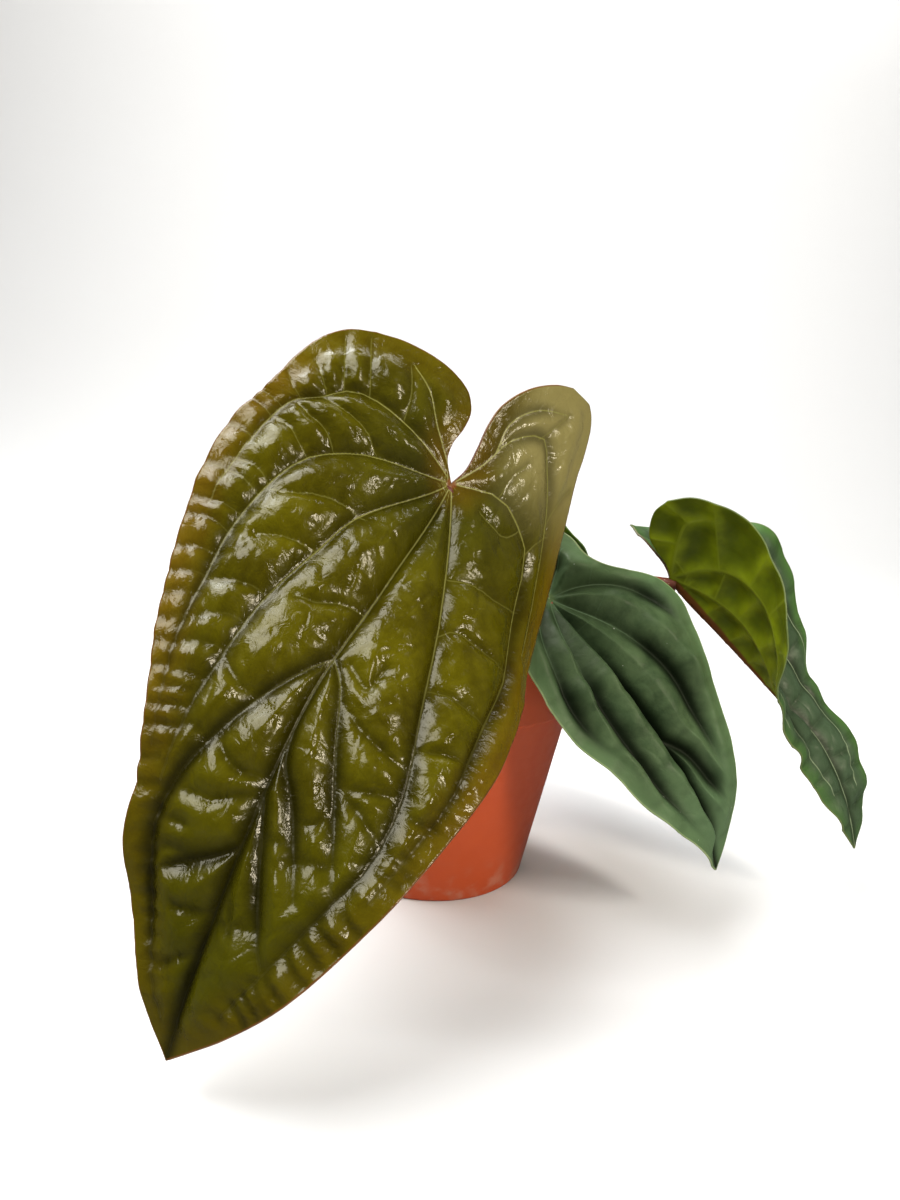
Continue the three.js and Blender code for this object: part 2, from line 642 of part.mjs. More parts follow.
function stemProfile(grow) {
  const profile = [[0, STEM.bottom - grow], [STEM.radius - 1 + grow, STEM.bottom - grow]];
  for (let z = STEM.bottom + STEM.nodeStep; z < STEM.top - 2; z += STEM.nodeStep) {
    const above = z > MIX.surface + MIX.mound + MIX.chunkHeight;
    profile.push([STEM.radius - STEM.nodeRise + grow, z - 2],
      [STEM.radius + (above ? 0 : -0.2) + grow, z]);
    profile.push([STEM.radius - STEM.nodeRise + grow, z + 1.5]);
  }
  profile.push([STEM.radius - 1.5 + grow, STEM.top], [2.2 + grow, STEM.top + 3], [0, STEM.tip + grow]);
  return profile;
}

// Stalks

function stalkSolid({ blade, scale, points }, bladeShape) {
  const joint = frameAt(midribFrames(bladeShape), STALK.seat);
  const path = points.map((p) => new THREE.Vector3(...p));
  path.push(joint.point.clone());
  const radiusAt = (along, length) => {
    const knee = smoothstep(length - STALK.kneeLength - 4, length - STALK.kneeLength, along);
    const base = 1 - smoothstep(4, 22, along);
    return scale * (STALK.radius + (STALK.baseRadius - STALK.radius) * base
      + (STALK.kneeRadius - STALK.radius) * knee);
  };
  const fold = (smooth(bladeShape.left, STALK.seat) + smooth(bladeShape.right, STALK.seat)) / 2;
  const below = BLADE_THICKNESS / Math.cos(radians(fold)) + 1.5 * GAP;
  const size = 40;
  const cut = new THREE.BoxGeometry(size, size, size)
    .applyQuaternion(new THREE.Quaternion().setFromUnitVectors(new THREE.Vector3(0, 0, 1), joint.normal))
    .translate(...joint.point.clone().addScaledVector(joint.normal, size / 2 - below).toArray());
  const clearStem = solidFrom(turned(stemProfile(GAP + 0.1), 24));
  return largestPart(solidFrom(rod(path, radiusAt,
    STALK.sides)).subtract(solidFrom(cut)).subtract(clearStem));
}

// Assembly

const plastic = new THREE.MeshStandardMaterial({ color: 0xa8532f, roughness: 0.55, metalness: 0 });
const soil = new THREE.MeshStandardMaterial({ color: 0x33251b, roughness: 1, metalness: 0 });
const cane = new THREE.MeshStandardMaterial({ color: 0x6d6a3c, roughness: 0.8, metalness: 0 });
const stalkSkin = new THREE.MeshStandardMaterial({ color: 0x7a3a2a, roughness: 0.5, metalness: 0 });

const plant = new THREE.Group();
plant.add(meshFrom('pot', potSolid(), plastic));
plant.add(meshFrom('potting_mix', mixSolid(), soil));
plant.add(meshFrom('stem', solidFrom(turned(stemProfile(0), 20)), cane));
for (const [name, blade] of Object.entries(BLADES)) {
  const skin = new THREE.MeshStandardMaterial({ color: blade.colour, roughness: 0.35, metalness: 0 });
  plant.add(meshFrom(name, solidFrom(bladeGeometry(blade)), skin));
}
for (const [name, stalk] of Object.entries(STALKS)) {
  plant.add(meshFrom(name, stalkSolid(stalk, BLADES[stalk.blade]), stalkSkin));
}

export default plant;
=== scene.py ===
"""Looks of the potted anthurium hybrid: four quilted blades on their stalks, a ringed cane, bark potting mix
and a moulded nursery pot. Lengths are written in millimetres and turned to metres by MM."""

import math
from functools import partial

import bmesh
import bpy
import numpy as np
from mathutils import Matrix, Vector, noise


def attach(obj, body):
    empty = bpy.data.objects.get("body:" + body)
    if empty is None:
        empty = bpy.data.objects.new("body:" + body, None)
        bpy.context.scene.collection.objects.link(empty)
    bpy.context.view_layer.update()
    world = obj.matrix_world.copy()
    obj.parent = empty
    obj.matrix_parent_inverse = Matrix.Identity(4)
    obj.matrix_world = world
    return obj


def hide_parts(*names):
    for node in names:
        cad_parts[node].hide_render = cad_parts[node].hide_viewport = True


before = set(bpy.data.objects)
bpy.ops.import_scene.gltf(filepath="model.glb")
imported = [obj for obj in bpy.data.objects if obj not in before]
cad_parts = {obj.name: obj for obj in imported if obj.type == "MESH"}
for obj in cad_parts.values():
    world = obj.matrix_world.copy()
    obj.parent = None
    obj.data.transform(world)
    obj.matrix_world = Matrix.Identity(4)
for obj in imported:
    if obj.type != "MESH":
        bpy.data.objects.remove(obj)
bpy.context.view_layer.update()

MM = 0.001

# Driving dimensions, most of them the same as the construction's

BLADE_THICKNESS = 0.8
RIB_HEIGHT, RIB_WIDTH = 0.45, 0.9
CROSS_RIB_HEIGHT, CROSS_RIB_WIDTH = 0.2, 0.6
RIM_BULGE = 0.35
POT = {
    "rim_radius": 60, "height": 106, "lip_height": 3.5, "lip_width": 2.2, "collar_height": 26,
    "collar_radius": 57.8, "body_top_radius": 56, "base_radius": 43.5, "wall": 1.5, "floor": 2,
    "foot_height": 1.5, "foot_width": 5, "drain_holes": 8, "drain_radius": 4, "drain_circle": 27,
}
MIX = {"surface": 98.5, "mound": 2.5, "fit": 0.7, "chunk": 8, "lump": 0.9, "settled": 0.6}
STEM = {"radius": 7, "bottom": 58, "top": 112, "tip": 119, "node_step": 9, "node_rise": 0.8}
STALK = {"radius": 1.9, "base_radius": 3.1, "knee_radius": 2.7, "knee_length": 11, "seat": 4}

# Each blade lies on a curved sheet. Its chart has s along the midrib, 0 where the stalk joins it, growing to
# the tip and negative in the basal lobes, and t across, counted outwards on either side.
#   midrib    points from the stalk joint to the tip, and lobe, the vector from the joint to the lobes' end
#   roll      rows [s, degrees] that turn the sheet about the midrib
#   left      rows [s, degrees, degrees per mm]: how steeply that half rises at the midrib, and how it curls
#   recurve   how far the lobes bend back, in mm for each square mm from the joint
#   outline   points [s, t] from the joint round the lobe to the tip; lobe_end is the lobe's far corner
#   veins     points [s, t] of the main veins sunk into the upper face
#   crossings the cross veins between them, or the spacing at which they step off the main veins
#   cells     how many faces each half has along the midrib and across it
#   relief    height of the upper face, in millimetres, and shares from 0 to 1:
#     main, panel               height of the cushions between the main veins, and the distance they rise over
#     main_width, crease        width and share of the sharper crease beside a vein
#     cross, cross_width        how deep a cross vein cuts into a cushion, and how wide
#     cell, cell_size           depth of the borders between the smallest cells, and the cells' size
#     wave, wave_length         waves of the margin, which begin at wave_from along the midrib
#     ripple, fold              height of the small and of the broad uneven ripples
#     calm                      how much flatter the right half is near its lobe
#     fade                      share of a main vein's depth that is lost by its end
#     flat_rim                  width of the flat rim round the lobes
#     tip_lift, rungs           lift of the left margin near the tip, and short rungs inside both margins
PLAIN_RELIEF = {"wave_from": -60, "calm": 0, "fade": 0.8, "fold": 0.6, "flat_rim": 0, "tip_lift": 0,
                "rungs": 0}
FRONT_BLADE = {
    "cells": (220, 110),
    "midrib": [[-3, -56, 171], [-21, -92, 139], [-38, -123, 111], [-52, -150, 70], [-66, -167, 14]],
    "lobe": [12.5, 24, 50], "recurve": {"left": 0.004, "right": 0},
    "roll": [[-57, 50], [0, 50], [57, 38], [114, 24], [207, 14]],
    "left": [[-57, 6, 0.52], [0, 6, 0.47], [105, 6, 0.37], [207, 6, 0.37]],
    "right": [[-57, 6, 0.73], [0, 6, 0.68], [105, 6, 0.37], [207, 6, 0.37]],
    "relief": {"main": 5.4, "main_width": 2.6, "crease": 0.4, "panel": 11, "cross": 0.6, "cross_width": 3,
               "cell": 0.5, "cell_size": 9, "wave": 1.1, "wave_length": 36, "wave_from": 120, "ripple": 0.6,
               "calm": 0.4, "fade": 0.5, "fold": 0, "flat_rim": 5, "tip_lift": 1.2, "rungs": 0.45},
    "lobe_end": {"left": 8, "right": 7},
    "outline": {
        "left": [
            [0, 0], [-7.5, 5], [-14, 5.5], [-22, 3], [-29.5, 2], [-36, 5], [-41.5, 14.5], [-44, 29.5],
            [-43.5, 44.5], [-40, 56], [-30.5, 64.5], [-15, 69.5], [5, 72], [29.5, 75], [49.5, 72],
            [71, 65.5], [93, 55], [116, 43.5], [138, 36], [155, 32.5], [169, 26.5], [185, 17],
            [198.5, 8.5], [207, 0],
        ],
        "right": [
            [0, 0], [-7.5, 3], [-16, 4], [-25.5, 5], [-35, 8], [-45, 16], [-53, 27], [-58, 38], [-57, 48],
            [-46, 54], [-28, 55], [-7.5, 58.5], [11.5, 62], [38, 62.5], [66.5, 63], [95, 61],
            [119.5, 55.5], [141.5, 47.5], [160.5, 39], [177.5, 29.5], [192, 17], [201.5, 6.5], [207, 0],
        ],
    },
    "veins": {
        "left": [
            [[0, 0], [35, 20], [54, 24.5], [78, 28.5], [99, 29.5], [115, 30.5], [135, 29.5]],
            [[0, 0], [11.5, 28.5], [21, 40], [29.5, 46.5], [43.5, 50.5], [64.5, 51.5], [80, 48.5],
             [96, 45.5], [115, 40], [127.5, 36]],
            [[0, 0], [-11.5, 24], [-16, 39], [-14, 47.5], [-6.5, 53], [4, 61], [20, 64.5], [43, 64.5],
             [59, 62.5]],
            [[0, 0], [-17, 12.5], [-27.5, 18], [-36, 26.5]],
            [[82.5, 0], [97, 9.5], [113, 18], [127.5, 24], [138.5, 26.5], [148, 26.5], [162.5, 22],
             [183.5, 13.5], [196.5, 5]],
            [[144.5, 0], [149, 5.5], [154, 14], [159.5, 23]],
        ],
        "right": [
            [[0, 0], [32.5, 15], [55, 23], [72, 28.5], [97, 35], [118, 38], [138, 36], [148, 31.5],
             [172, 21], [187, 14]],
            [[0, 0], [-5.5, 19], [-3, 27.5], [3, 40], [19, 45.5], [43.5, 51.5], [69.5, 51.5],
             [104.5, 51.5], [120.5, 48.5], [145.5, 40]],
            [[0, 0], [-14, 9.5], [-24, 15], [-30.5, 24], [-31.5, 30.5], [-24.5, 35], [-17, 40],
             [-7.5, 45.5], [13.5, 53], [32.5, 55]],
            [[-18, 11.5], [-30.5, 13.5], [-40, 23], [-44.5, 36]],
            [[82.5, 0], [90, 6.5], [107.5, 13.5], [119, 18], [134, 24], [147, 29.5]],
            [[107.5, 0], [118, 2], [128, 8.5], [138, 13.5], [152, 21]],
            [[128, 0], [136, 3], [148, 7.5], [161.5, 13.5], [172, 20]],
        ],
    },
    "crossings": {
        "left": [
            [[-14, 48], [-26, 51], [-37, 54]], [[-16, 39], [-28, 42], [-40, 45]],
            [[-9, 53], [-19, 58], [-24, 61]], [[2, 60], [-6, 65], [-13, 68]],
            [[-13, 25], [-26, 26], [-35, 28]], [[13, 64], [10, 70], [9, 75]],
            [[20, 65], [17, 71], [16, 75]], [[32, 65], [31, 70], [31, 75]],
            [[-5, 53], [-2, 45], [2, 37], [7, 32], [10, 29]],
            [[7, 60], [12, 54], [14, 48], [20, 41]], [[20, 64], [22, 57], [26, 51], [28, 47]],
            [[42, 67], [41, 59], [42, 54], [44, 50]],
            [[45, 49], [44, 43], [40, 37], [37, 28], [36, 19]], [[62, 43], [58, 36], [55, 25]],
            [[48, 51], [46, 60], [46, 72]], [[57, 51], [57, 58], [58, 68]],
            [[65, 51], [64, 57], [65, 66]], [[73, 50], [74, 56], [76, 63]],
            [[80, 48], [81, 53], [83, 60]], [[86, 48], [87, 53], [89, 57]],
            [[92, 47], [94, 51], [95, 54]], [[98, 45], [99, 49], [101, 51]],
            [[105, 43], [106, 46], [107, 48]], [[81, 48], [79, 41], [77, 34], [77, 28]],
            [[93, 46], [90, 40], [87, 34], [87, 29]], [[98, 44], [97, 39], [96, 34], [96, 30]],
            [[107, 42], [106, 37], [105, 31]], [[111, 41], [110, 35], [109, 32]],
            [[116, 40], [115, 35], [114, 32]], [[115, 33], [116, 38], [116, 42]],
            [[121, 33], [121, 37], [122, 41]], [[129, 33], [131, 38]], [[136, 30], [138, 36]],
            [[99, 27], [103, 20], [104, 15]], [[120, 32], [118, 28], [119, 23]],
            [[73, 21], [71, 14], [67, 9], [64, 0]], [[135, 24], [135, 13], [132, 7], [129, 0]],
            [[120, 18], [125, 10], [124, 0]], [[145, 27], [144, 23], [144, 18]],
            [[154, 25], [152, 22], [151, 16], [154, 14]], [[176, 0], [178, 5], [182, 9], [184, 12]],
            [[164, 0], [165, 5], [166, 12]],
        ],
        "right": [
            [[33, 16], [29, 23], [27, 29], [25, 36], [20, 46]],
            [[55, 23], [50, 27], [49, 34], [48, 41], [46, 51]],
            [[74, 30], [72, 35], [71, 42], [70, 52]], [[98, 36], [95, 42], [92, 48], [91, 53]],
            [[118, 38], [120, 44], [120, 50]], [[132, 38], [133, 42], [136, 48]],
            [[-6, 19], [-14, 21], [-20, 25]], [[3, 40], [-1, 42], [-5, 47]],
            [[-7, 45], [-15, 47], [-22, 53]], [[4, 14], [5, 26], [0, 32]], [[-31, 28], [-38, 33], [-45, 38]],
            [[95, 10], [101, 20], [106, 34]], [[119, 19], [118, 26], [115, 37]],
            [[82, 5], [87, 14], [78, 15]], [[133, 11], [132, 16], [128, 21]],
            [[144, 15], [142, 19], [141, 26]], [[142, 6], [140, 8], [139, 13]],
            [[166, 0], [164, 9], [163, 14]], [[119, 19], [125, 29], [130, 36]],
            [[153, 0], [160, 4], [166, 7]], [[137, 36], [138, 41], [139, 46]],
            [[147, 32], [151, 36], [154, 41]], [[155, 28], [157, 32], [160, 38]],
            [[160, 26], [163, 31], [165, 35]], [[165, 24], [168, 29], [170, 33]],
            [[171, 20], [174, 25], [176, 29]], [[175, 19], [178, 24], [180, 27]],
            [[179, 18], [181, 22], [183, 25]], [[182, 16], [184, 20], [187, 22]],
        ],
    },
}
RIGHT_BLADE = {
    "cells": (150, 84),
    "midrib": [[40, -20, 125], [63, -32, 104], [83, -41, 83], [105, -46, 54], [117, -44, 27]],
    "lobe": [-11, 18, 21], "recurve": {"left": 0, "right": 0},
    "roll": [[-32, -28], [0, -30], [60, -39], [130, -48]],
    "left": [[-30, 24, 0.4], [0, 20, 0.4], [130, 14, 0.3]],
    "right": [[-30, 24, 0.4], [0, 20, 0.4], [130, 14, 0.3]],
    "relief": {**PLAIN_RELIEF, "main": 8, "main_width": 2.5, "crease": 0.1, "panel": 10, "cross": 0.12,
               "cross_width": 6, "cell": 0.3, "cell_size": 11, "wave": 0.6, "wave_length": 30, "ripple": 0.5,
               "fold": 2.6},
    "lobe_end": {"left": 5, "right": 5},
    "outline": {
        "left": [
            [0, 0], [-6, 2.5], [-13, 3], [-20, 5], [-25, 11], [-26, 17], [-22, 22], [-13, 24.5], [-2, 28],
            [10, 33], [24, 36.5], [38, 37], [52, 35], [66, 31.5], [80, 28], [94, 23], [107, 16.5],
            [119, 9], [130, 0],
        ],
        "right": [
            [0, 0], [-6, 2], [-13, 2], [-20, 4], [-25, 9], [-25, 14], [-19, 18], [-9, 21], [1, 27],
            [11, 35], [22, 41.5], [32, 42.5], [44, 39], [57, 33.5], [70, 30], [83, 26], [96, 20.5],
            [109, 16], [121, 10.5], [130, 0],
        ],
    },
    "veins": {
        "left": [
            [[0, 0], [22, 11], [45, 16], [68, 17], [90, 15], [108, 11], [120, 6]],
            [[0, 0], [8, 14], [20, 23], [38, 28], [56, 28], [72, 25]],
            [[0, 0], [-10, 9], [-14, 16]],
        ],
        "right": [
            [[0, 0], [18, 10], [34, 16], [50, 19], [66, 18], [84, 16], [104, 12]],
            [[0, 0], [2, 12], [9, 23], [20, 31], [34, 34], [48, 32]],
            [[0, 0], [-10, 8], [-15, 13]],
            [[70, 0], [80, 6], [94, 9], [108, 11]],
        ],
    },
    "crossings": {"spacing": 13},
}
FAR_BLADE = {
    "cells": (160, 84),
    "midrib": [[91, 0, 135], [110, -3, 118.5], [129, -6, 101.5], [144, -10, 88], [159, -14, 75],
               [171, -18, 56], [181, -20, 30]],
    "lobe": [-21, 3, 20], "recurve": {"left": 0, "right": 0},
    "roll": [[-30, 0], [0, 0], [60, -2], [90, -8], [110, -13], [141, -13]],
    "left": [[-30, 62, 0.35], [0, 72, 0.45], [26, 62, 0.75], [44, 42, 0.8], [60, 24, 0.8],
             [74, 6, 0.6], [100, -18, 0.3], [141, -20, 0.3]],
    "right": [[-30, -8, 0.3], [-5, 28, 0.25], [12, 60, 0.12], [30, 58, 0.12], [46, 50, 0.15],
              [60, 40, 0.3], [80, 24, 0.4], [104, 20, 0.3], [141, 20, 0.3]],
    "relief": {**PLAIN_RELIEF, "main": 3.4, "main_width": 2.5, "crease": 0.25, "panel": 8, "cross": 0.7,
               "cross_width": 4, "cell": 0.35, "cell_size": 9, "wave": 1, "wave_length": 20, "wave_from": 20,
               "ripple": 0.5},
    "lobe_end": {"left": 5, "right": 5},
    "outline": {
        "left": [
            [0, 0], [-6, 2], [-13, 2.5], [-20, 5], [-26, 13], [-27, 22], [-22, 32], [-12, 39], [2, 43],
            [16, 44], [34, 42], [54, 36], [74, 27], [94, 19.5], [112, 14.5], [128, 8.5], [141, 0],
        ],
        "right": [
            [0, 0], [-6, 2], [-13, 2.5], [-20, 5], [-25, 13], [-25, 21], [-21, 30], [-12, 38], [2, 45],
            [16, 48], [34, 46], [54, 37], [74, 26], [94, 21], [112, 18.5], [128, 12.5], [141, 0],
        ],
    },
    "veins": {
        "left": [
            [[0, 0], [22, 10], [46, 15], [70, 15], [94, 12], [114, 7]],
            [[0, 0], [6, 15], [18, 26], [36, 30], [56, 28], [74, 22]],
            [[0, 0], [-10, 12], [-15, 22], [-10, 30]],
        ],
        "right": [
            [[0, 0], [22, 10], [46, 16], [70, 17], [94, 14], [116, 8]],
            [[0, 0], [6, 15], [18, 27], [36, 33], [56, 31], [78, 25]],
            [[0, 0], [-10, 12], [-15, 22], [-10, 30]],
        ],
    },
    "crossings": {"spacing": 12},
}
SMALL_OUTLINE = [
    [0, 0], [-5, 1.6], [-10, 1.8], [-15, 4], [-18, 9], [-17, 15], [-13, 20], [-6, 24.5], [4, 27.5],
    [16, 28.5], [30, 27], [44, 23], [60, 18], [75, 12], [89, 6], [100, 0],
]
SMALL_VEINS = [
    [[0, 0], [16, 8], [34, 12], [54, 11], [74, 7]],
    [[0, 0], [5, 10], [14, 18], [30, 19], [44, 16]],
]
BACK_BLADE = {
    "cells": (90, 56),
    "midrib": [[28, 20, 142], [36, 40, 124], [43, 57, 95], [46, 66, 58]],
    "lobe": [-5, -8, 16], "recurve": {"left": 0, "right": 0},
    "roll": [[-20, 0], [94, 0]],
    "left": [[-20, 12, 0.5], [0, 12, 0.5], [94, 8, 0.4]],
    "right": [[-20, 12, 0.5], [0, 12, 0.5], [94, 8, 0.4]],
    "relief": {**PLAIN_RELIEF, "main": 2.2, "main_width": 3, "crease": 0.4, "panel": 8, "cross": 0.2,
               "cross_width": 3, "cell": 0.25, "cell_size": 8, "wave": 0.5, "wave_length": 24, "ripple": 0.2},
    "lobe_end": {"left": 4, "right": 4},
    "outline": {"left": SMALL_OUTLINE, "right": SMALL_OUTLINE},
    "veins": {"left": SMALL_VEINS, "right": SMALL_VEINS},
    "crossings": {"spacing": 12},
}
CROSSING_SEED = {"left": 10, "right": 700}

# The midrib loses only this share of the depth that a main vein loses towards its end
MIDRIB_FADE = 0.2

# Stalks: points from inside the cane to just short of the blade
STALKS = {
    "front_stalk": {"node": "petiole_1", "blade": FRONT_BLADE, "scale": 1.2,
                    "points": [[-3, -2, 105], [-9, -2, 121], [-10, -14, 146], [-7, -38, 165]]},
    "right_stalk": {"node": "petiole_2", "blade": RIGHT_BLADE, "scale": 1,
                    "points": [[4, -3, 104], [15, -6, 107], [27, -7, 112], [36, -12, 119]]},
    "far_stalk": {"node": "petiole_3", "blade": FAR_BLADE, "scale": 1,
                  "points": [[4, 3, 107], [22, 10, 118], [48, 9, 127], [74, 4, 131]]},
    "back_stalk": {"node": "petiole_4", "blade": BACK_BLADE, "scale": 0.9,
                   "points": [[-2, 4, 108], [2, 13, 120], [13, 18, 133]]},
}

# Small mathematics


def smoothstep(low, high, x):
    """Rises gently from 0 at low to 1 at high."""
    u = np.clip((x - low) / (high - low), 0, 1)
    return u * u * (3 - 2 * u)


def scatter(n):
    """A repeatable value between 0 and 1 for a number."""
    return math.sin(n * 12.9898 + 4.1414) * 43758.5453 % 1


def smooth(rows, x, column=1):
    """Smooth curve through rows [x, value...]: cubic between rows, level past the ends."""
    table = np.asarray(rows, float)
    at, value = table[:, 0], table[:, column]
    last = len(table) - 1
    here = np.arange(last + 1)
    before = np.maximum(here - 1, 0)
    after = np.minimum(here + 1, last)
    slope = (value[after] - value[before]) / (at[after] - at[before])
    x = np.clip(x, at[0], at[last])
    i = np.clip(np.searchsorted(at, x, side="right") - 1, 0, last - 1)
    width = at[i + 1] - at[i]
    u = (x - at[i]) / width
    return ((2 * u**3 - 3 * u**2 + 1) * value[i] + (u**3 - 2 * u**2 + u) * width * slope[i]
            + (3 * u**2 - 2 * u**3) * value[i + 1] + (u**3 - u**2) * width * slope[i + 1])


def curve_points(points, count):
    """Evenly spaced points on a smooth curve through the given points."""
    points = np.asarray(points, float)
    steps = np.linalg.norm(np.diff(points, axis=0), axis=1)
    rows = np.column_stack([np.concatenate([[0], np.cumsum(steps)]), points])
    at = np.linspace(0, rows[-1, 0], count)
    return np.column_stack([smooth(rows, at, axis + 1) for axis in range(points.shape[1])])


def nearest_line(lines, points):
    """Each point's distance to the nearest of these lines, the same signed by the side it lies on, and how
    far along that line it lies, from 0 to 1."""
    start = np.concatenate([line[:-1] for line in lines])
    step = np.concatenate([line[1:] - line[:-1] for line in lines])
    passed = np.concatenate([np.arange(len(line) - 1) / (len(line) - 1) for line in lines])
    stride = np.concatenate([np.full(len(line) - 1, 1 / (len(line) - 1)) for line in lines])
    squared = (step**2).sum(1)
    distance = np.empty(len(points))
    offset = np.empty(len(points))
    progress = np.empty(len(points))
    chunk = 2000
    for first in range(0, len(points), chunk):
        away = points[first:first + chunk, None] - start
        share = np.clip((away * step).sum(2) / squared, 0, 1)
        gap = np.linalg.norm(away - share[..., None] * step, axis=2)
        nearest = gap.argmin(1)
        rows = np.arange(len(nearest))
        side = np.sign(away[rows, nearest, 0] * step[nearest, 1] - away[rows, nearest, 1] * step[nearest, 0])
        distance[first:first + chunk] = gap[rows, nearest]
        offset[first:first + chunk] = side * gap[rows, nearest]
        progress[first:first + chunk] = passed[nearest] + stride[nearest] * share[rows, nearest]
    return distance, offset, progress


def inside(outline, s, t):
    """Whether a chart point lies inside a closed outline."""
    within = False
    for (s_a, t_a), (s_b, t_b) in zip(outline, np.roll(outline, 1, axis=0)):
        if (t_a > t) != (t_b > t) and s < (s_b - s_a) * (t - t_a) / (t_b - t_a) + s_a:
            within = not within
    return within


# The blade's sheet


def midrib_frames(blade):
    """Midrib points with their sideways and upward directions, sampled along the chart's s axis."""
    joint = np.array(blade["midrib"][0], float)
    points = curve_points([joint + blade["lobe"], *blade["midrib"]], 401)
    steps = np.linalg.norm(np.diff(points, axis=0), axis=1)
    along = np.concatenate([[0], np.cumsum(steps)])
    s = along - along[np.linalg.norm(points - joint, axis=1).argmin()]
    here = np.arange(len(points))
    forward = points[np.minimum(here + 1, here[-1])] - points[np.maximum(here - 1, 0)]
    forward /= np.linalg.norm(forward, axis=1)[:, None]
    level = np.cross(forward, [0, 0, 1])
    level /= np.linalg.norm(level, axis=1)[:, None]
    normal = np.cross(level, forward)
    roll = np.radians(smooth(blade["roll"], s))[:, None]
    return {
        "s": s, "point": points,
        "aside": level * np.cos(roll) + normal * np.sin(roll),
        "normal": normal * np.cos(roll) - level * np.sin(roll),
    }


def frame_at(frames, s, key):
    """The midrib's point or direction at each s."""
    return np.stack([np.interp(s, frames["s"], frames[key][:, axis]) for axis in range(3)], -1)


def sheet_points(blade, frames, side, s, t, height):
    """Points of the sheet at (s, t) on one side, raised along its normal there."""
    sign = 1 if side == "left" else -1
    point, aside, normal = (frame_at(frames, s, key) for key in ("point", "aside", "normal"))
    rise = np.radians(smooth(blade[side], s, 1))
    curl = np.radians(smooth(blade[side], s, 2))
    angle = rise - curl * t
    out = (np.sin(rise) - np.sin(angle)) / curl
    lift = (np.cos(angle) - np.cos(rise)) / curl
    tilt = np.where(t == 0, 0, angle)[..., None]
    up = normal * np.cos(tilt) - sign * aside * np.sin(tilt)
    raised = height - blade["recurve"][side] * np.minimum(s, 0)**2
    return point + sign * aside * out[..., None] + normal * lift[..., None] + up * raised[..., None]


def cross_veins(main, outline, spacing, seed):
    """Cross veins that step off each main vein and run until they meet another vein or the margin."""
    stride = 1.5
    longest = 34
    crossings = []
    n = seed
    for vein in main:
        others = [np.asarray(other, float) for other in main if other is not vein]
        points = curve_points(vein, 60)
        travelled = spacing * 0.6
        for i in range(1, len(points) - 3):
            ds, dt = points[i] - points[i - 1]
            travelled += math.hypot(ds, dt)
            if travelled < spacing:
                continue
            n += 1
            travelled = spacing * 0.35 * (scatter(n) - 0.5)
            heading = math.atan2(ds, -dt)
            turn = 0.5 * (scatter(n + 0.5) - 0.5)
            line = [points[i]]
            k = 1
            while k * stride < longest:
                angle = heading + turn * (1 - k * stride / longest)
                ahead = line[-1] + stride * np.array([math.cos(angle), math.sin(angle)])
                if not inside(outline, *ahead):
                    break
                line.append(ahead)
                if k > 2 and nearest_line(others, ahead[None])[0][0] < stride:
                    break
                k += 1
            if len(line) > 3:
                crossings.append(np.array(line))
    return crossings


# Sizes that all reliefs share, in millimetres
GROOVE_ROUNDING = 0.45
RIM_SLOPE = 8
WAVE_REACH = 16
WAVE_FREE = 12
RIPPLE_SIZE = 7
FOLD_SIZE = 15
CELL_GROOVE = 1.2
RUNG_LENGTH = 6.4
RUNG_SLANT = 0.4
TAPER_PER_HEIGHT = 4

# Where parts of the relief grow or fade along the midrib, in millimetres from the joint
RELIEF_ZONE = {"calm": (-20, 25), "flat_rim": (-10, 45), "high_rim": (80, 130), "tip_lift": (105, 145),
               "rungs": (70, 110)}

VEIN_FIELDS = ("vein_mm", "vein_offset", "cross_mm", "cross_offset", "margin_mm", "hollow")


def groove_distance(distance):
    """Distance from a vein with the bottom of its groove rounded."""
    return np.hypot(distance, GROOVE_ROUNDING) - GROOVE_ROUNDING


def cushion(shape, distance):
    """Height of the blade beside a vein, from 0 in the groove to 1 on the cushion between two veins."""
    distance = groove_distance(distance)
    crease = 1 - np.exp(-distance / shape["main_width"])
    pillow = np.sin(0.5 * math.pi * np.minimum(distance / shape["panel"], 1))
    return shape["crease"] * crease + (1 - shape["crease"]) * pillow


def vein_map(blade, side, s, t):
    """Distances in millimetres to the main veins, the cross veins and the margin at each chart point, and
    how far the point lies down in a main vein's groove."""
    outline = curve_points(blade["outline"][side], 140)
    main = [curve_points(vein, 24) for vein in blade["veins"][side]]
    midrib = np.array([[0, 0], outline[-1]])
    crossings = blade["crossings"]
    if side in crossings:
        lines = [curve_points(vein, 8) for vein in crossings[side]]
    else:
        sources = [*blade["veins"][side], midrib]
        lines = cross_veins(sources, outline, crossings["spacing"], CROSSING_SEED[side])
    at = np.column_stack([s.ravel(), t.ravel()])
    main_distance, main_offset, _ = nearest_line([*main, midrib], at)
    cross_distance, cross_offset, _ = nearest_line(lines, at)
    margin_distance = nearest_line([outline], at)[0]
    hollow = np.zeros(len(at))
    for vein in (*main, midrib):
        distance, _, progress = nearest_line([vein], at)
        fade = blade["relief"]["fade"] * (MIDRIB_FADE if vein is midrib else 1)
        depth = 1 - fade * smoothstep(0.6, 1, progress)
        hollow = np.maximum(hollow, depth * (1 - cushion(blade["relief"], distance)))
    found = (main_distance, main_offset, cross_distance, cross_offset, margin_distance, hollow)
    return {field: values.reshape(s.shape) for field, values in zip(VEIN_FIELDS, found)}


def cell_gap(x, y, size):
    """Distance in millimetres from the border between two irregular cells of about this size."""
    x_warped = x / size + 0.25 * noise.noise((x / size, y / size, 7.9))
    y_warped = y / size + 0.25 * noise.noise((x / size, y / size, 2.3))
    nearest = noise.voronoi((x_warped, y_warped, 0.5))[0]
    return (nearest[1] - nearest[0]) * size


def over_chart(s, t, height):
    """A height worked out for each chart point."""
    return np.array([height(x, y) for x, y in zip(s.ravel(), t.ravel())]).reshape(s.shape)


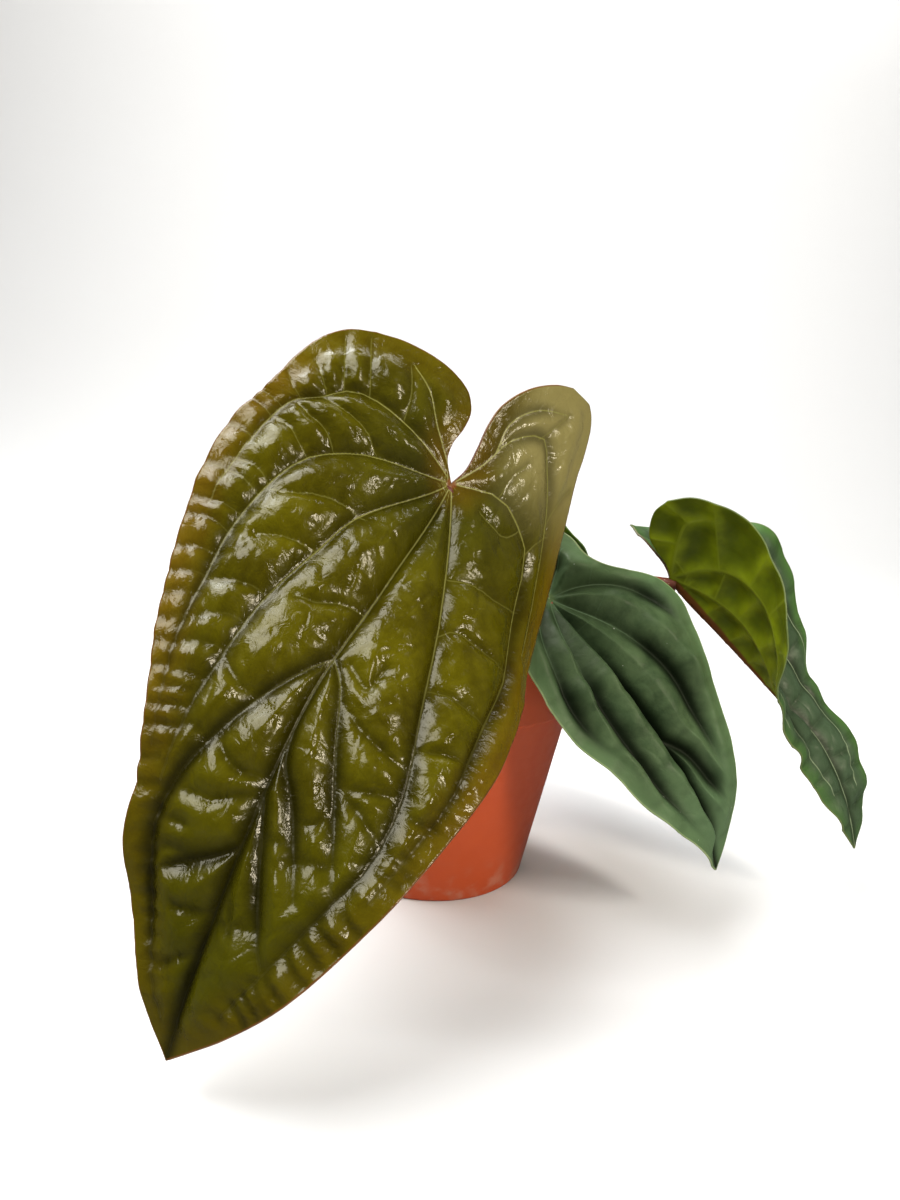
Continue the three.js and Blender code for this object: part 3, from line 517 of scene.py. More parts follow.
def margin_waves(shape, side, s, t, margin, broad):
    """Waves of the blade's margin, its lifted edge near the tip, and short rungs just inside it."""
    wave = shape["wave"] * (1 - smoothstep(0, WAVE_REACH, margin)) * smoothstep(0, WAVE_FREE, t)
    wave = wave * np.sin(2 * math.pi * s / shape["wave_length"] + (0 if side == "left" else 2))
    wave = wave * smoothstep(shape["wave_from"] - 20, shape["wave_from"] + 20, s)
    if side == "left":
        near = 1 - smoothstep(0, 8, margin)
        wave = wave + shape["tip_lift"] * near * smoothstep(*RELIEF_ZONE["tip_lift"], s)
    strip = smoothstep(1, 4, margin) * (1 - smoothstep(7, 12, margin)) * smoothstep(*RELIEF_ZONE["rungs"], s)
    turn = 2 * math.pi * (s - RUNG_SLANT * t) / RUNG_LENGTH + 2 * broad
    return wave + strip * shape["rungs"] * np.sin(turn)


def quilting(blade, side, s, t, veins):
    """Height of the quilted upper face: grooves along the veins, and pillows of many sizes between them."""
    shape = blade["relief"]
    margin = veins["margin_mm"]
    across = t if side == "left" else -t
    dome = 1 - veins["hollow"]
    if side == "right":
        dome = dome * (1 - shape["calm"] * (1 - smoothstep(*RELIEF_ZONE["calm"], s)))
    crossing = 1 - shape["cross"] * np.exp(-groove_distance(veins["cross_mm"]) / shape["cross_width"])
    flat_rim = shape["flat_rim"] * (1 - smoothstep(*RELIEF_ZONE["flat_rim"], s))
    at_rim = 0.35 + 0.25 * smoothstep(*RELIEF_ZONE["high_rim"], s)
    edge = at_rim + (1 - at_rim) * smoothstep(flat_rim, RIM_SLOPE + flat_rim, margin)
    ripple = over_chart(s, across, lambda x, y: noise.noise((x / RIPPLE_SIZE, y / RIPPLE_SIZE, 3.7)))
    broad = over_chart(s, across, lambda x, y: noise.noise((x / FOLD_SIZE, y / FOLD_SIZE, 8.1)))
    gap = over_chart(s, across, lambda x, y: cell_gap(x, y, shape["cell_size"]))
    small = shape["ripple"] * ripple - shape["cell"] * np.exp(-gap / CELL_GROOVE) + shape["fold"] * broad
    small = small * smoothstep(0, 5, veins["vein_mm"]) * edge
    height = shape["main"] * dome * crossing * edge + margin_waves(shape, side, s, t, margin, broad) + small
    tip = smoothstep(0, TAPER_PER_HEIGHT * shape["main"], blade["outline"][side][-1][0] - s)
    return np.where(t == 0, 0, height * tip)


def chart_patch(blade, side):
    """Chart points of one half blade: a patch between the midrib, the outer margin and the sinus margin."""
    rows, columns = blade["cells"]
    outline = blade["outline"][side]
    corner_at = blade["lobe_end"][side]
    sinus = curve_points(outline[:corner_at + 1], columns + 1)
    margin = curve_points(outline[corner_at:][::-1], rows + 1)
    u = np.linspace(0, 1, rows + 1)[:, None]
    v = np.linspace(0, 1, columns + 1)[None]
    inner = margin[0, 0] * (1 - u)
    s = (1 - v) * inner + v * margin[:, None, 0] + u * sinus[None, :, 0] - u * v * sinus[-1, 0]
    t = v * margin[:, None, 1] + u * sinus[None, :, 1] - u * v * sinus[-1, 1]
    t[:, 0] = 0
    t[0] = 0
    return s, t


# Objects


def mesh_object(name, vertices, faces, materials, face_materials=None):
    """A smooth-shaded object in the scene, made of the given corners and faces."""
    mesh = bpy.data.meshes.new(name)
    mesh.from_pydata(np.asarray(vertices, float).tolist(), [], faces)
    for material in materials:
        mesh.materials.append(material)
    if face_materials is not None:
        mesh.polygons.foreach_set("material_index", face_materials)
    mesh.polygons.foreach_set("use_smooth", [True] * len(mesh.polygons))
    mesh.update()
    made = bpy.data.objects.new(name, mesh)
    bpy.context.scene.collection.objects.link(made)
    return made


def store(made, name, values):
    """Keeps one number, or one vector, for each vertex for the materials to read."""
    values = np.asarray(values, np.float32)
    kind, field = ("FLOAT", "value") if values.ndim == 1 else ("FLOAT_VECTOR", "vector")
    attribute = made.data.attributes.new(name, kind, "POINT")
    attribute.data.foreach_set(field, values.ravel())


def half_blade(blade, frames, side):
    """Chart, vein fields, upper points and lower points of one half, on a grid from midrib to margin."""
    s, t = chart_patch(blade, side)
    veins = vein_map(blade, side, s, t)
    height = quilting(blade, side, s, t, veins)
    fold = (smooth(blade["left"], s) + smooth(blade["right"], s)) / 2
    mitre = np.where(t == 0, 1 / np.cos(np.radians(fold)), 1)
    taper = 1 - 0.7 * np.clip(s / s.max(), 0, 1)
    rib = RIB_HEIGHT * taper * np.exp(-(veins["vein_mm"] / RIB_WIDTH)**2)
    rib = rib + CROSS_RIB_HEIGHT * np.exp(-(veins["cross_mm"] / CROSS_RIB_WIDTH)**2)
    top = sheet_points(blade, frames, side, s, t, height)
    under = sheet_points(blade, frames, side, s, t, height - BLADE_THICKNESS * mitre - rib)
    sign = 1 if side == "left" else -1
    chart = np.stack([s, sign * t, 0 * s], -1) * MM
    return chart, veins, top, under


def rim_points(upper, lower):
    """Points of the rounded rim, pushed outwards from the middle between the two faces' edges."""
    rim = (upper + lower) / 2
    outward = np.cross(np.roll(rim, -1, 0) - np.roll(rim, 1, 0), upper - lower)
    outward /= np.linalg.norm(outward, axis=1)[:, None]
    flip = np.sign(((rim - rim.mean(0)) * outward).sum())
    return rim + flip * outward * BLADE_THICKNESS * RIM_BULGE


def blade_object(name, blade, materials):
    """One blade: an upper face, a lower face with the ribs standing out, and a rounded rim between them."""
    frames = midrib_frames(blade)
    rows, columns = blade["cells"]
    upper, lower, charts = [], [], []
    fields = {field: [] for field in VEIN_FIELDS}
    index = {}
    first = 0
    for side in ("left", "right"):
        chart, veins, top, under = half_blade(blade, frames, side)
        taken = np.ones((rows + 1, columns + 1), bool)
        if side == "left":
            taken[0, 1:] = False
        else:
            taken[0] = False
            taken[:, 0] = False
        numbers = np.full(taken.shape, -1)
        numbers[taken] = first + np.arange(taken.sum())
        numbers[0] = 0
        if side == "right":
            numbers[:, 0] = index["left"][:, 0]
        first += taken.sum()
        index[side] = numbers
        upper.append(top[taken])
        lower.append(under[taken])
        charts.append(chart[taken])
        for field, values in fields.items():
            values.append(veins[field][taken])
    upper, lower = np.concatenate(upper), np.concatenate(lower)
    count = len(upper)
    faces = []
    for side in ("left", "right"):
        numbers = index[side]
        corners = [numbers[:-1, :-1], numbers[1:, :-1], numbers[1:, 1:], numbers[:-1, 1:]]
        if side == "right":
            corners.reverse()
        for quad in np.stack([corner.ravel() for corner in corners], 1).tolist():
            faces.append([a for k, a in enumerate(quad) if a != quad[k - 1]])
    loop = [0, *index["left"][1:, -1], *index["left"][-1, -2::-1], *index["right"][-1, 1:],
            *index["right"][-2:0:-1, -1]]
    below = [[count + a for a in reversed(face)] for face in faces]
    strip = []
    for k, a in enumerate(loop):
        after = (k + 1) % len(loop)
        b = loop[after]
        c, d = 2 * count + k, 2 * count + after
        strip.append([a, b, d, c])
        strip.append([c, d, count + b, count + a])
    vertices = np.concatenate([upper, lower, rim_points(upper[loop], lower[loop])]) * MM
    face_materials = [0] * len(faces) + [1] * len(below) + [2] * len(strip)
    made = mesh_object(name, vertices, faces + below + strip, materials, face_materials)
    for field, parts in {**fields, "chart": charts}.items():
        values = np.concatenate(parts)
        store(made, field, np.concatenate([values, values, values[loop]]))
    return made


def joined(name, parts, materials):
    """One object from several (vertices, faces) in millimetres."""
    vertices, faces, first = [], [], 0
    for part_vertices, part_faces in parts:
        vertices.append(part_vertices)
        faces.extend([[first + a for a in face] for face in part_faces])
        first += len(part_vertices)
    return mesh_object(name, np.concatenate(vertices) * MM, faces, materials)


def turned(profile, sides):
    """Vertices and faces of a closed solid of revolution about Z from points [radius, height]."""
    profile = np.asarray(profile, float)
    angle = np.linspace(0, 2 * math.pi, sides, endpoint=False)
    ring = profile[1:-1]
    vertices = np.stack([ring[:, :1] * np.cos(angle), ring[:, :1] * np.sin(angle),
                         np.repeat(ring[:, 1:], sides, axis=1)], -1).reshape(-1, 3)
    vertices = np.concatenate([vertices, [[0, 0, profile[0, 1]], [0, 0, profile[-1, 1]]]])
    start, end = len(vertices) - 2, len(vertices) - 1
    faces = []
    for k in range(sides):
        after = (k + 1) % sides
        faces.append([start, after, k])
        for i in range(len(ring) - 1):
            a, b = i * sides, (i + 1) * sides
            faces.append([a + k, a + after, b + after, b + k])
        last = (len(ring) - 1) * sides
        faces.append([last + k, last + after, end])
    return vertices, faces


def rounded(profile, radius):
    """The profile with each corner between its ends turned into a small arc."""
    points = [np.array(p, float) for p in profile]
    steps = 4
    out = [points[0]]
    for before, corner, after in zip(points, points[1:], points[2:]):
        back, ahead = before - corner, after - corner
        room = min(radius, 0.45 * np.linalg.norm(back), 0.45 * np.linalg.norm(ahead))
        start = corner + back / np.linalg.norm(back) * room
        end = corner + ahead / np.linalg.norm(ahead) * room
        for u in np.linspace(0, 1, steps + 1):
            out.append((1 - u)**2 * start + 2 * u * (1 - u) * corner + u**2 * end)
    out.append(points[-1])
    return np.array(out)


def stalk_path(points, count):
    """Evenly spaced points on a centripetal Catmull-Rom curve through the given ones."""
    points = [np.array(p, float) for p in points]
    points = [2 * points[0] - points[1], *points, 2 * points[-1] - points[-2]]
    fine = []
    for p0, p1, p2, p3 in zip(points, points[1:], points[2:], points[3:]):
        d0, d1, d2 = (max(np.linalg.norm(b - a)**0.5, 1e-4) for a, b in ((p0, p1), (p1, p2), (p2, p3)))
        m1 = d1 * ((p1 - p0) / d0 - (p2 - p0) / (d0 + d1) + (p2 - p1) / d1)
        m2 = d1 * ((p2 - p1) / d1 - (p3 - p1) / (d1 + d2) + (p3 - p2) / d2)
        for u in np.linspace(0, 1, 40, endpoint=False):
            fine.append((2 * u**3 - 3 * u**2 + 1) * p1 + (u**3 - 2 * u**2 + u) * m1
                        + (3 * u**2 - 2 * u**3) * p2 + (u**3 - u**2) * m2)
    fine = np.array([*fine, points[-2]])
    along = np.concatenate([[0], np.cumsum(np.linalg.norm(np.diff(fine, axis=0), axis=1))])
    at = np.linspace(0, along[-1], count)
    return np.column_stack([np.interp(at, along, fine[:, axis]) for axis in range(3)]), along[-1]


def tube(path, radius, sides):
    """Vertices and faces of a round rod along a path, closed at both ends, with a radius for each point."""
    tangent = np.gradient(path, axis=0)
    tangent /= np.linalg.norm(tangent, axis=1)[:, None]
    across = np.cross(tangent[0], (0, 0, 1))
    vertices = []
    angle = np.linspace(0, 2 * math.pi, sides, endpoint=False)
    for point, direction, size in zip(path, tangent, radius):
        across = across - direction * (across @ direction)
        across /= np.linalg.norm(across)
        other = np.cross(direction, across)
        vertices.append(point + size * (np.cos(angle)[:, None] * across + np.sin(angle)[:, None] * other))
    vertices = np.concatenate([*vertices, path[:1], path[-1:]])
    start, end = len(vertices) - 2, len(vertices) - 1
    faces = []
    for k in range(sides):
        after = (k + 1) % sides
        faces.append([start, after, k])
        for i in range(len(path) - 1):
            a, b = i * sides, (i + 1) * sides
            faces.append([a + k, a + after, b + after, b + k])
        last = (len(path) - 1) * sides
        faces.append([last + k, last + after, end])
    return vertices, faces


# Materials

# Sockets of the node that mixes two colours
SHARE, UNDER, OVER, MIXED = 0, 6, 7, 2

EASED = {"interpolation_type": "SMOOTHSTEP"}
TIMES = {"operation": "MULTIPLY"}
PLUS = {"operation": "ADD"}
GREATER = {"operation": "MAXIMUM"}

# Real sizes of the patterns in each surface, in millimetres
LEAF_PATTERN = {"patch": 26, "mottle": 5, "speck": 6, "crinkle": 4.5, "grain": 1.3, "under_patch": 12,
                "fibre": 1.5, "rim_patch": 9}
POT_PATTERN = {"cloud": 35, "splash": 7, "flow": 30, "peel": 0.8}
MIX_PATTERN = {"crumb": 1.3, "pit": 0.5}
STALK_PATTERN = {"streak": 1.2, "groove": 0.7, "patch": 9, "dot": 2.2}

# Where a leaf's colours begin and end, in millimetres along the midrib, across it, or away from the joint
LEAF_ZONE = {
    # the lobe zones bound the painted sheen on the right lobe
    "joint": (1.2, 2.6), "joint_shade": (8, 62), "lobe": (-25, 5), "sheen_lobe_side": (-24, -8),
    "band_start": (-40, -5), "band_end": (90, 150), "red_rim": (14, 34), "midrib": (0.7, 1.5),
}


def linear(colour):
    """An sRGB hex colour as linear RGBA."""
    parts = [int(colour[i:i + 2], 16) / 255 for i in (1, 3, 5)]
    return [*(c / 12.92 if c <= 0.04045 else ((c + 0.055) / 1.055)**2.4 for c in parts), 1]


def per_metre(size):
    """Texture scale that repeats about every size millimetres."""
    return 1 / (size * MM)


def zone(name):
    """Limits of one of a leaf's colour zones, in metres."""
    return [limit * MM for limit in LEAF_ZONE[name]]


def set_sockets(tree, made, values):
    """Sets each input to its value, or links it where the value is another node's output."""
    for socket, value in values.items():
        if isinstance(value, bpy.types.NodeSocket):
            tree.links.new(value, made.inputs[socket])
        else:
            made.inputs[socket].default_value = value


def node(tree, kind, inputs=(), result=0, **settings):
    """Adds a node and gives back one of its outputs. Inputs are a row in the node's order, or go by name."""
    made = tree.nodes.new("ShaderNode" + kind)
    for name, value in settings.items():
        setattr(made, name, value)
    set_sockets(tree, made, inputs if isinstance(inputs, dict) else dict(enumerate(inputs)))
    return made.outputs[result]


def new_material(name):
    """A material, the function that adds nodes to it, and the function that sets its surface."""
    material = bpy.data.materials.new(name)
    material.use_nodes = True
    tree = material.node_tree
    return material, partial(node, tree), partial(set_sockets, tree, tree.nodes["Principled BSDF"])


def painted(add, ground, coats):
    """The ground colour under its coats, each a share and a colour, laid over it in turn."""
    for share, colour in coats:
        ground = add("Mix", {SHARE: share, UNDER: ground, OVER: linear(colour)}, MIXED, data_type="RGBA")
    return ground


def vein_line(add, offset, distance, width):
    """1 on a vein's own line, 0 beside it."""
    near = add("Math", [offset], operation="ABSOLUTE")
    line = add("MapRange", [near, width * 0.35, width, 1, 0], **EASED)
    own = add("MapRange", [distance, 1.2, 1.8, 1, 0], **EASED)
    return add("Math", [line, own], **TIMES)


def cuticle(name, look):
    """Upper face of a living leaf: a waxy cuticle over green tissue, so a clear gloss that breaks up in
    wrinkles of one to five millimetres, over tissue with painted shade in the grooves, a painted sheen on the
    right lobe, and a band of its own colour at the margin."""
    material, add, finish = new_material(name)
    chart = add("Attribute", result="Vector", attribute_name="chart")
    along = add("SeparateXYZ", [chart], "X")
    across = add("SeparateXYZ", [chart], "Y")
    reach = add("VectorMath", [chart], "Value", operation="LENGTH")
    vein, vein_offset, cross, cross_offset, margin, hollow = (
        add("Attribute", result="Fac", attribute_name=field) for field in VEIN_FIELDS)

    # Uneven tissue, younger towards the tip and darker round the joint
    patches = add("TexNoise", {"Vector": chart, "Scale": per_metre(LEAF_PATTERN["patch"]), "Detail": 3})
    mottle = add("TexNoise", {"Vector": chart, "Scale": per_metre(LEAF_PATTERN["mottle"]), "Detail": 4,
                              "Roughness": 0.6})
    tone = add("Math", [add("Math", [patches, 0.6], **TIMES), add("Math", [mottle, 0.4], **TIMES)], **PLUS)
    tone = add("MapRange", [tone, 0.3, 0.7], **EASED)
    young = add("MapRange", [along, look["green_from"] * MM, look["green_to"] * MM], **EASED)
    young = add("Math", [young, look["green_share"]], **TIMES)
    shade = add("MapRange", [reach, *zone("joint_shade"), look["joint_shade"], 0], **EASED)

    # A ragged coloured band inside the margin, and a painted sheen that makes the right lobe paler
    ragged = add("Math", [margin, add("Math", [mottle, 5], **TIMES)], **PLUS)
    band = add("MapRange", [ragged, 2.5, look["band_width"] + 2.5, look["band_share"], 0], **EASED)
    band = add("Math", [band, add("MapRange", [along, *zone("band_start"), 0.3, 1], **EASED)], **TIMES)
    band = add("Math", [band, add("MapRange", [along, *zone("band_end"), 1, 0.35], **EASED)], **TIMES)
    lobe = add("MapRange", [along, *zone("lobe"), look["lobe_sheen_share"], 0], **EASED)
    lobe = add("Math", [lobe, add("MapRange", [across, *zone("sheen_lobe_side"), 1, 0], **EASED)], **TIMES)

    # Painted shade in the grooves, stronger away from the joint, with pale veins that fade along the blade
    groove = add("Math", [add("MapRange", [hollow, 0.25, 0.9], **EASED),
                          add("MapRange", [cross, 0.2, 2.5, look["cross_crease_shade"], 0], **EASED)], **GREATER)
    groove_shade_strength = add("MapRange", [reach, 25 * MM, look["groove_shade_from"] * MM, 0.2, look["groove_shade_share"]], **EASED)
    groove_shade_strength = add("Math", [groove_shade_strength, add("Math", [lobe, 0.7], **TIMES)], **GREATER)
    groove = add("Math", [groove, groove_shade_strength], **TIMES)
    vein_end = look["vein_reach"] * MM
    fading = add("MapRange", [reach, 0.2 * vein_end, vein_end, 1, look["vein_far"]], **EASED)
    main_line = vein_line(add, vein_offset, vein, look["vein_width"])
    cross_line = vein_line(add, cross_offset, cross, look["vein_width"])
    cross_line = add("Math", [cross_line, look["cross_share"]], **TIMES)
    line = add("Math", [add("Math", [main_line, cross_line], **GREATER), fading], **TIMES)

    # Dust specks, the joint's own colour and the thin edge
    specks = add("TexVoronoi", {"Vector": chart, "Scale": per_metre(LEAF_PATTERN["speck"])})
    speck = add("MapRange", [specks, 0.03, 0.05, look["speck_share"], 0], **EASED)
    speck = add("Math", [speck, add("MapRange", [patches, 0.5, 0.56], **EASED)], **TIMES)
    joint = add("MapRange", [reach, *zone("joint"), 0.8, 0], **EASED)
    edge = add("MapRange", [margin, 0.1, 0.5, 0.8, 0], **EASED)
    tissue = painted(add, linear(look["dark"]), [
        (tone, look["light"]), (young, look["green"]), (shade, look["dark_joint"]), (band, look["band"]),
        (lobe, look["lobe"]), (groove, look["groove"]), (line, look["vein"]), (speck, "#c9cbb8"),
        (joint, look["joint"]), (edge, look["edge"]),
    ])

    # Wrinkles and grain of the skin, and a gloss that is softer where it is mottled and beside the veins
    crinkle = add("TexNoise", {"Vector": chart, "Scale": per_metre(LEAF_PATTERN["crinkle"]), "Detail": 3,
                               "Roughness": 0.55, "Distortion": 0.8})
    crinkle = add("Math", [crinkle, look["crinkle"]], **TIMES)
    grain = add("TexNoise", {"Vector": chart, "Scale": per_metre(LEAF_PATTERN["grain"]), "Detail": 2})
    grain = add("Math", [grain, look["grain"]], **TIMES)
    height = add("Math", [crinkle, grain], **PLUS)
    gloss = add("MapRange", [mottle, 0.3, 0.7, look["roughness"] - 0.04, look["roughness"] + 0.08], **EASED)
    gloss = add("Math", [gloss, add("MapRange", [vein, 0.1, 0.8, 0.15, 0], **EASED)], **PLUS)
    finish({
        "Base Color": tissue, "Roughness": gloss,
        "Normal": add("Bump", {"Height": height, "Distance": MM, "Strength": 1}), "IOR": 1.45,
        "Specular IOR Level": look["specular"], "Specular Tint": linear("#fff6e0"),
    })
    return material


def underside(name, look):
    """Lower face of a leaf: matt, paler tissue, darker in the cells, with a coloured midrib standing out."""
    material, add, finish = new_material(name)
    chart = add("Attribute", result="Vector", attribute_name="chart")
    vein, vein_offset, cross, cross_offset, margin, _ = (
        add("Attribute", result="Fac", attribute_name=field) for field in VEIN_FIELDS)
    patches = add("TexNoise", {"Vector": chart, "Scale": per_metre(LEAF_PATTERN["under_patch"]), "Detail": 3})
    cell = add("Math", [add("MapRange", [cross, 0.5, 5], **EASED),
                        add("MapRange", [vein, 0.5, 5], **EASED)], **TIMES)
    net = add("Math", [vein_line(add, vein_offset, vein, 0.9),
                       vein_line(add, cross_offset, cross, 0.6)], **GREATER)
    from_midrib = add("Math", [add("SeparateXYZ", [chart], "Y")], operation="ABSOLUTE")
    midrib = add("MapRange", [from_midrib, *zone("midrib"), 0.9, 0], **EASED)
    midrib = add("Math", [midrib, add("MapRange", [margin, 1, 4], **EASED)], **TIMES)
    tissue = painted(add, linear(look["under_dark"]), [
        (add("MapRange", [patches, 0.35, 0.65], **EASED), look["under_light"]),
        (add("Math", [cell, look["under_cell"]], **TIMES), look["under_deep"]),
        (add("Math", [net, 0.6], **TIMES), look["under_net"]),
        (midrib, look["rib"]),
    ])
    fibre = add("TexNoise", {"Vector": chart, "Scale": per_metre(LEAF_PATTERN["fibre"]), "Detail": 3})
    finish({
        "Base Color": tissue, "Roughness": 0.45,
        "Normal": add("Bump", {"Height": fibre, "Distance": 0.12 * MM}), "IOR": 1.4,
        "Specular IOR Level": 0.15,
    })
    return material


def leaf_rim(name, look):
    """The cut edge of a leaf: a thin matt line, pale or bronze, and dark red beside the joint."""
    material, add, finish = new_material(name)
    chart = add("Attribute", result="Vector", attribute_name="chart")
    patches = add("TexNoise", {"Vector": chart, "Scale": per_metre(LEAF_PATTERN["rim_patch"]), "Detail": 2})
    reach = add("VectorMath", [chart], "Value", operation="LENGTH")
    tone = painted(add, linear(look["edge"]), [
        (add("MapRange", [patches, 0.3, 0.7], **EASED), look["edge_light"]),
        (add("MapRange", [reach, *zone("red_rim"), 0.8, 0], **EASED), "#541a10"),
    ])
    finish({"Base Color": tone, "Roughness": 0.45})
    return material


def leaf_materials(name, look):
    """A blade's three materials, in the order of its material numbers: upper face, lower face and rim."""
    return [cuticle(f"{name} upper cuticle", look), underside(f"{name} lower face", look),
            leaf_rim(f"{name} rim", look)]


# Looks of the four leaves. A share is how strongly a colour shows, from 0 to 1. green_from, green_to,
# groove_shade_from and vein_reach are millimetres from the joint, and crinkle and grain are heights in millimetres.
BRONZE_LEAF = {
    "dark": "#3c3502", "light": "#575003",
    "green": "#393802", "green_from": 90, "green_to": 190, "green_share": 0.75,
    "band": "#74520c", "band_width": 16, "band_share": 0.45,
    # groove: colour of the painted shade in the grooves
    "groove": "#1c1903", "groove_shade_share": 0.85, "groove_shade_from": 130, "cross_crease_shade": 0.5,
    # lobe: pale bronze-grey painted sheen on the right lobe
    "lobe": "#8f8450", "lobe_sheen_share": 0.8, "speck_share": 0,
    "joint": "#74361c", "dark_joint": "#32330a", "joint_shade": 0.6,
    "vein": "#807c3c", "vein_reach": 120, "vein_far": 0, "vein_width": 0.34, "cross_share": 0.4,
    "edge": "#66401a", "edge_light": "#7c5630",
    "crinkle": 0.5, "grain": 0.07, "roughness": 0.18, "specular": 0.3,
    "under_dark": "#6a6428", "under_light": "#7d7640", "under_deep": "#57551f", "under_cell": 0.5,
    "rib": "#8d5a3a", "under_net": "#8c8450",
}
GREEN_LEAF = {
    "lobe": "#53642c", "lobe_sheen_share": 0, "joint": "#4c5c34", "dark_joint": "#24301c", "joint_shade": 0,
    "crinkle": 0.25,
}
BLUE_GREEN_LEAF = {
    **GREEN_LEAF,
    "dark": "#2f3f26", "light": "#50623f",
    "green": "#5c7650", "green_from": 60, "green_to": 120, "green_share": 0.75,
    "band": "#566d46", "band_width": 9, "band_share": 0.75,
    # groove: colour of the painted shade in the grooves
    "groove": "#0a1206", "groove_shade_share": 0.95, "groove_shade_from": 45, "cross_crease_shade": 0.15,
    "speck_share": 0.8, "joint_shade": 0.4,
    "vein": "#516548", "vein_reach": 45, "vein_far": 0, "vein_width": 0.3, "cross_share": 0.2,
    "edge": "#7c8e5c", "edge_light": "#94a070",
    "grain": 0.06, "roughness": 0.45, "specular": 0.18,
    "under_dark": "#4d5c34", "under_light": "#5c6c38", "under_deep": "#3b4826", "under_cell": 0.5,
    "rib": "#8d8a55", "under_net": "#76844a",
}
OLIVE_LEAF = {
    **GREEN_LEAF,
    "dark": "#33442a", "light": "#495c40",
    "green": "#41543a", "green_from": 20, "green_to": 120, "green_share": 0.4,
    "band": "#466a2c", "band_width": 8, "band_share": 0.8,
    # groove: colour of the painted shade in the grooves
    "groove": "#18240f", "groove_shade_share": 0.75, "groove_shade_from": 60, "cross_crease_shade": 0.5,
    "speck_share": 0.2,
    "vein": "#7c8a68", "vein_reach": 300, "vein_far": 0.5, "vein_width": 0.35, "cross_share": 0.06,
    "edge": "#5c6a34", "edge_light": "#6c7640",
    "grain": 0.05, "roughness": 0.42, "specular": 0.3,
    "under_dark": "#555e07", "under_light": "#717c0b", "under_deep": "#3c4605", "under_cell": 0.6,
    "rib": "#5f2c14", "under_net": "#6d7618",
}
BRIGHT_LEAF = {
    **OLIVE_LEAF,
    # groove: colour of the painted shade in the grooves
    "dark": "#38600e", "light": "#487414", "green": "#3e6811", "band": "#527c20", "groove": "#2a4a0a",
    "edge": "#5a8424", "edge_light": "#68903a",
    "under_dark": "#42700e", "under_light": "#548016", "under_deep": "#38620b", "rib": "#5e8226",
}


def moulded_polypropylene():
    """Injection-moulded polypropylene: an even terracotta colour, a soft satin sheen, and a faint orange-peel
    skin with flow lines round the pot. Splashed dust dulls its foot."""
    material, add, finish = new_material("moulded polypropylene")
    place = add("TexCoord", result="Object")
    clouds = add("TexNoise", {"Vector": place, "Scale": per_metre(POT_PATTERN["cloud"]), "Detail": 3})
    splash = add("TexNoise", {"Vector": place, "Scale": per_metre(POT_PATTERN["splash"]), "Detail": 5})
    low = add("MapRange", [add("SeparateXYZ", [place], "Z"), 0, 22 * MM, 0.5, 0], **EASED)
    dust = add("Math", [low, add("MapRange", [splash, 0.45, 0.7], **EASED)], **TIMES)
    colour = painted(add, linear("#b84518"), [(clouds, "#c45020"), (dust, "#b98d74")])
    round_pot = add("Mapping", {"Vector": place, "Scale": (1, 1, 14)})
    flow = add("TexNoise", {"Vector": round_pot, "Scale": per_metre(POT_PATTERN["flow"]), "Detail": 2})
    peel = add("TexNoise", {"Vector": place, "Scale": per_metre(POT_PATTERN["peel"]), "Detail": 1})
    height = add("Math", [add("Math", [flow, 0.05], **TIMES), add("Math", [peel, 0.012], **TIMES)], **PLUS)
    finish({
        "Base Color": colour, "Roughness": add("MapRange", [splash, 0.3, 0.7, 0.38, 0.5], **EASED),
        "Normal": add("Bump", {"Height": height, "Distance": MM, "Strength": 1}), "IOR": 1.49,
        "Specular IOR Level": 0.5,
    })
    return material


def composted_bark():
    """Composted bark and peat: dark, matt and fibrous, a little paler where a crumb has dried."""
    material, add, finish = new_material("composted bark")
    place = add("TexCoord", result="Object")
    crumb = add("TexNoise", {"Vector": place, "Scale": per_metre(MIX_PATTERN["crumb"]), "Detail": 5,
                             "Roughness": 0.7})
    colour = painted(add, linear("#20150e"), [
        (add("Attribute", result="Fac", attribute_name="shade"), "#5a4029"),
        (add("MapRange", [crumb, 0.5, 0.75, 0, 0.5], **EASED), "#7a5c3f"),
    ])
    finish({"Base Color": colour, "Roughness": 0.9, "Specular IOR Level": 0.25,
            "Normal": add("Bump", {"Height": crumb, "Distance": 0.5 * MM})})
    return material


def expanded_perlite():
    """Expanded perlite: off-white volcanic glass foam, matt and pitted."""
    material, add, finish = new_material("expanded perlite")
    place = add("TexCoord", result="Object")
    pits = add("TexVoronoi", {"Vector": place, "Scale": per_metre(MIX_PATTERN["pit"])})
    colour = painted(add, linear("#b7b0a4"), [(add("MapRange", [pits, 0.1, 0.6], **EASED), "#efece4")])
    finish({"Base Color": colour, "Roughness": 0.8,
            "Normal": add("Bump", {"Height": pits, "Distance": 0.2 * MM})})
    return material


def cane_bark():
    """Young aroid cane: smooth olive skin, corky brown rings where old leaves fell."""
    material, add, finish = new_material("aroid cane")
    place = add("TexCoord", result="Object")
    upright = add("Mapping", {"Vector": place, "Scale": (1, 1, 0.15)})
    streaks = add("TexNoise", {"Vector": upright, "Scale": per_metre(STALK_PATTERN["streak"]), "Detail": 4})
    colour = painted(add, linear("#4f5126"), [
        (add("MapRange", [streaks, 0.35, 0.65], **EASED), "#7d7442"),
        (add("Attribute", result="Fac", attribute_name="ring"), "#5e3f26"),
    ])
    finish({"Base Color": colour, "Roughness": 0.65,
            "Normal": add("Bump", {"Height": streaks, "Distance": 0.3 * MM})})
    return material


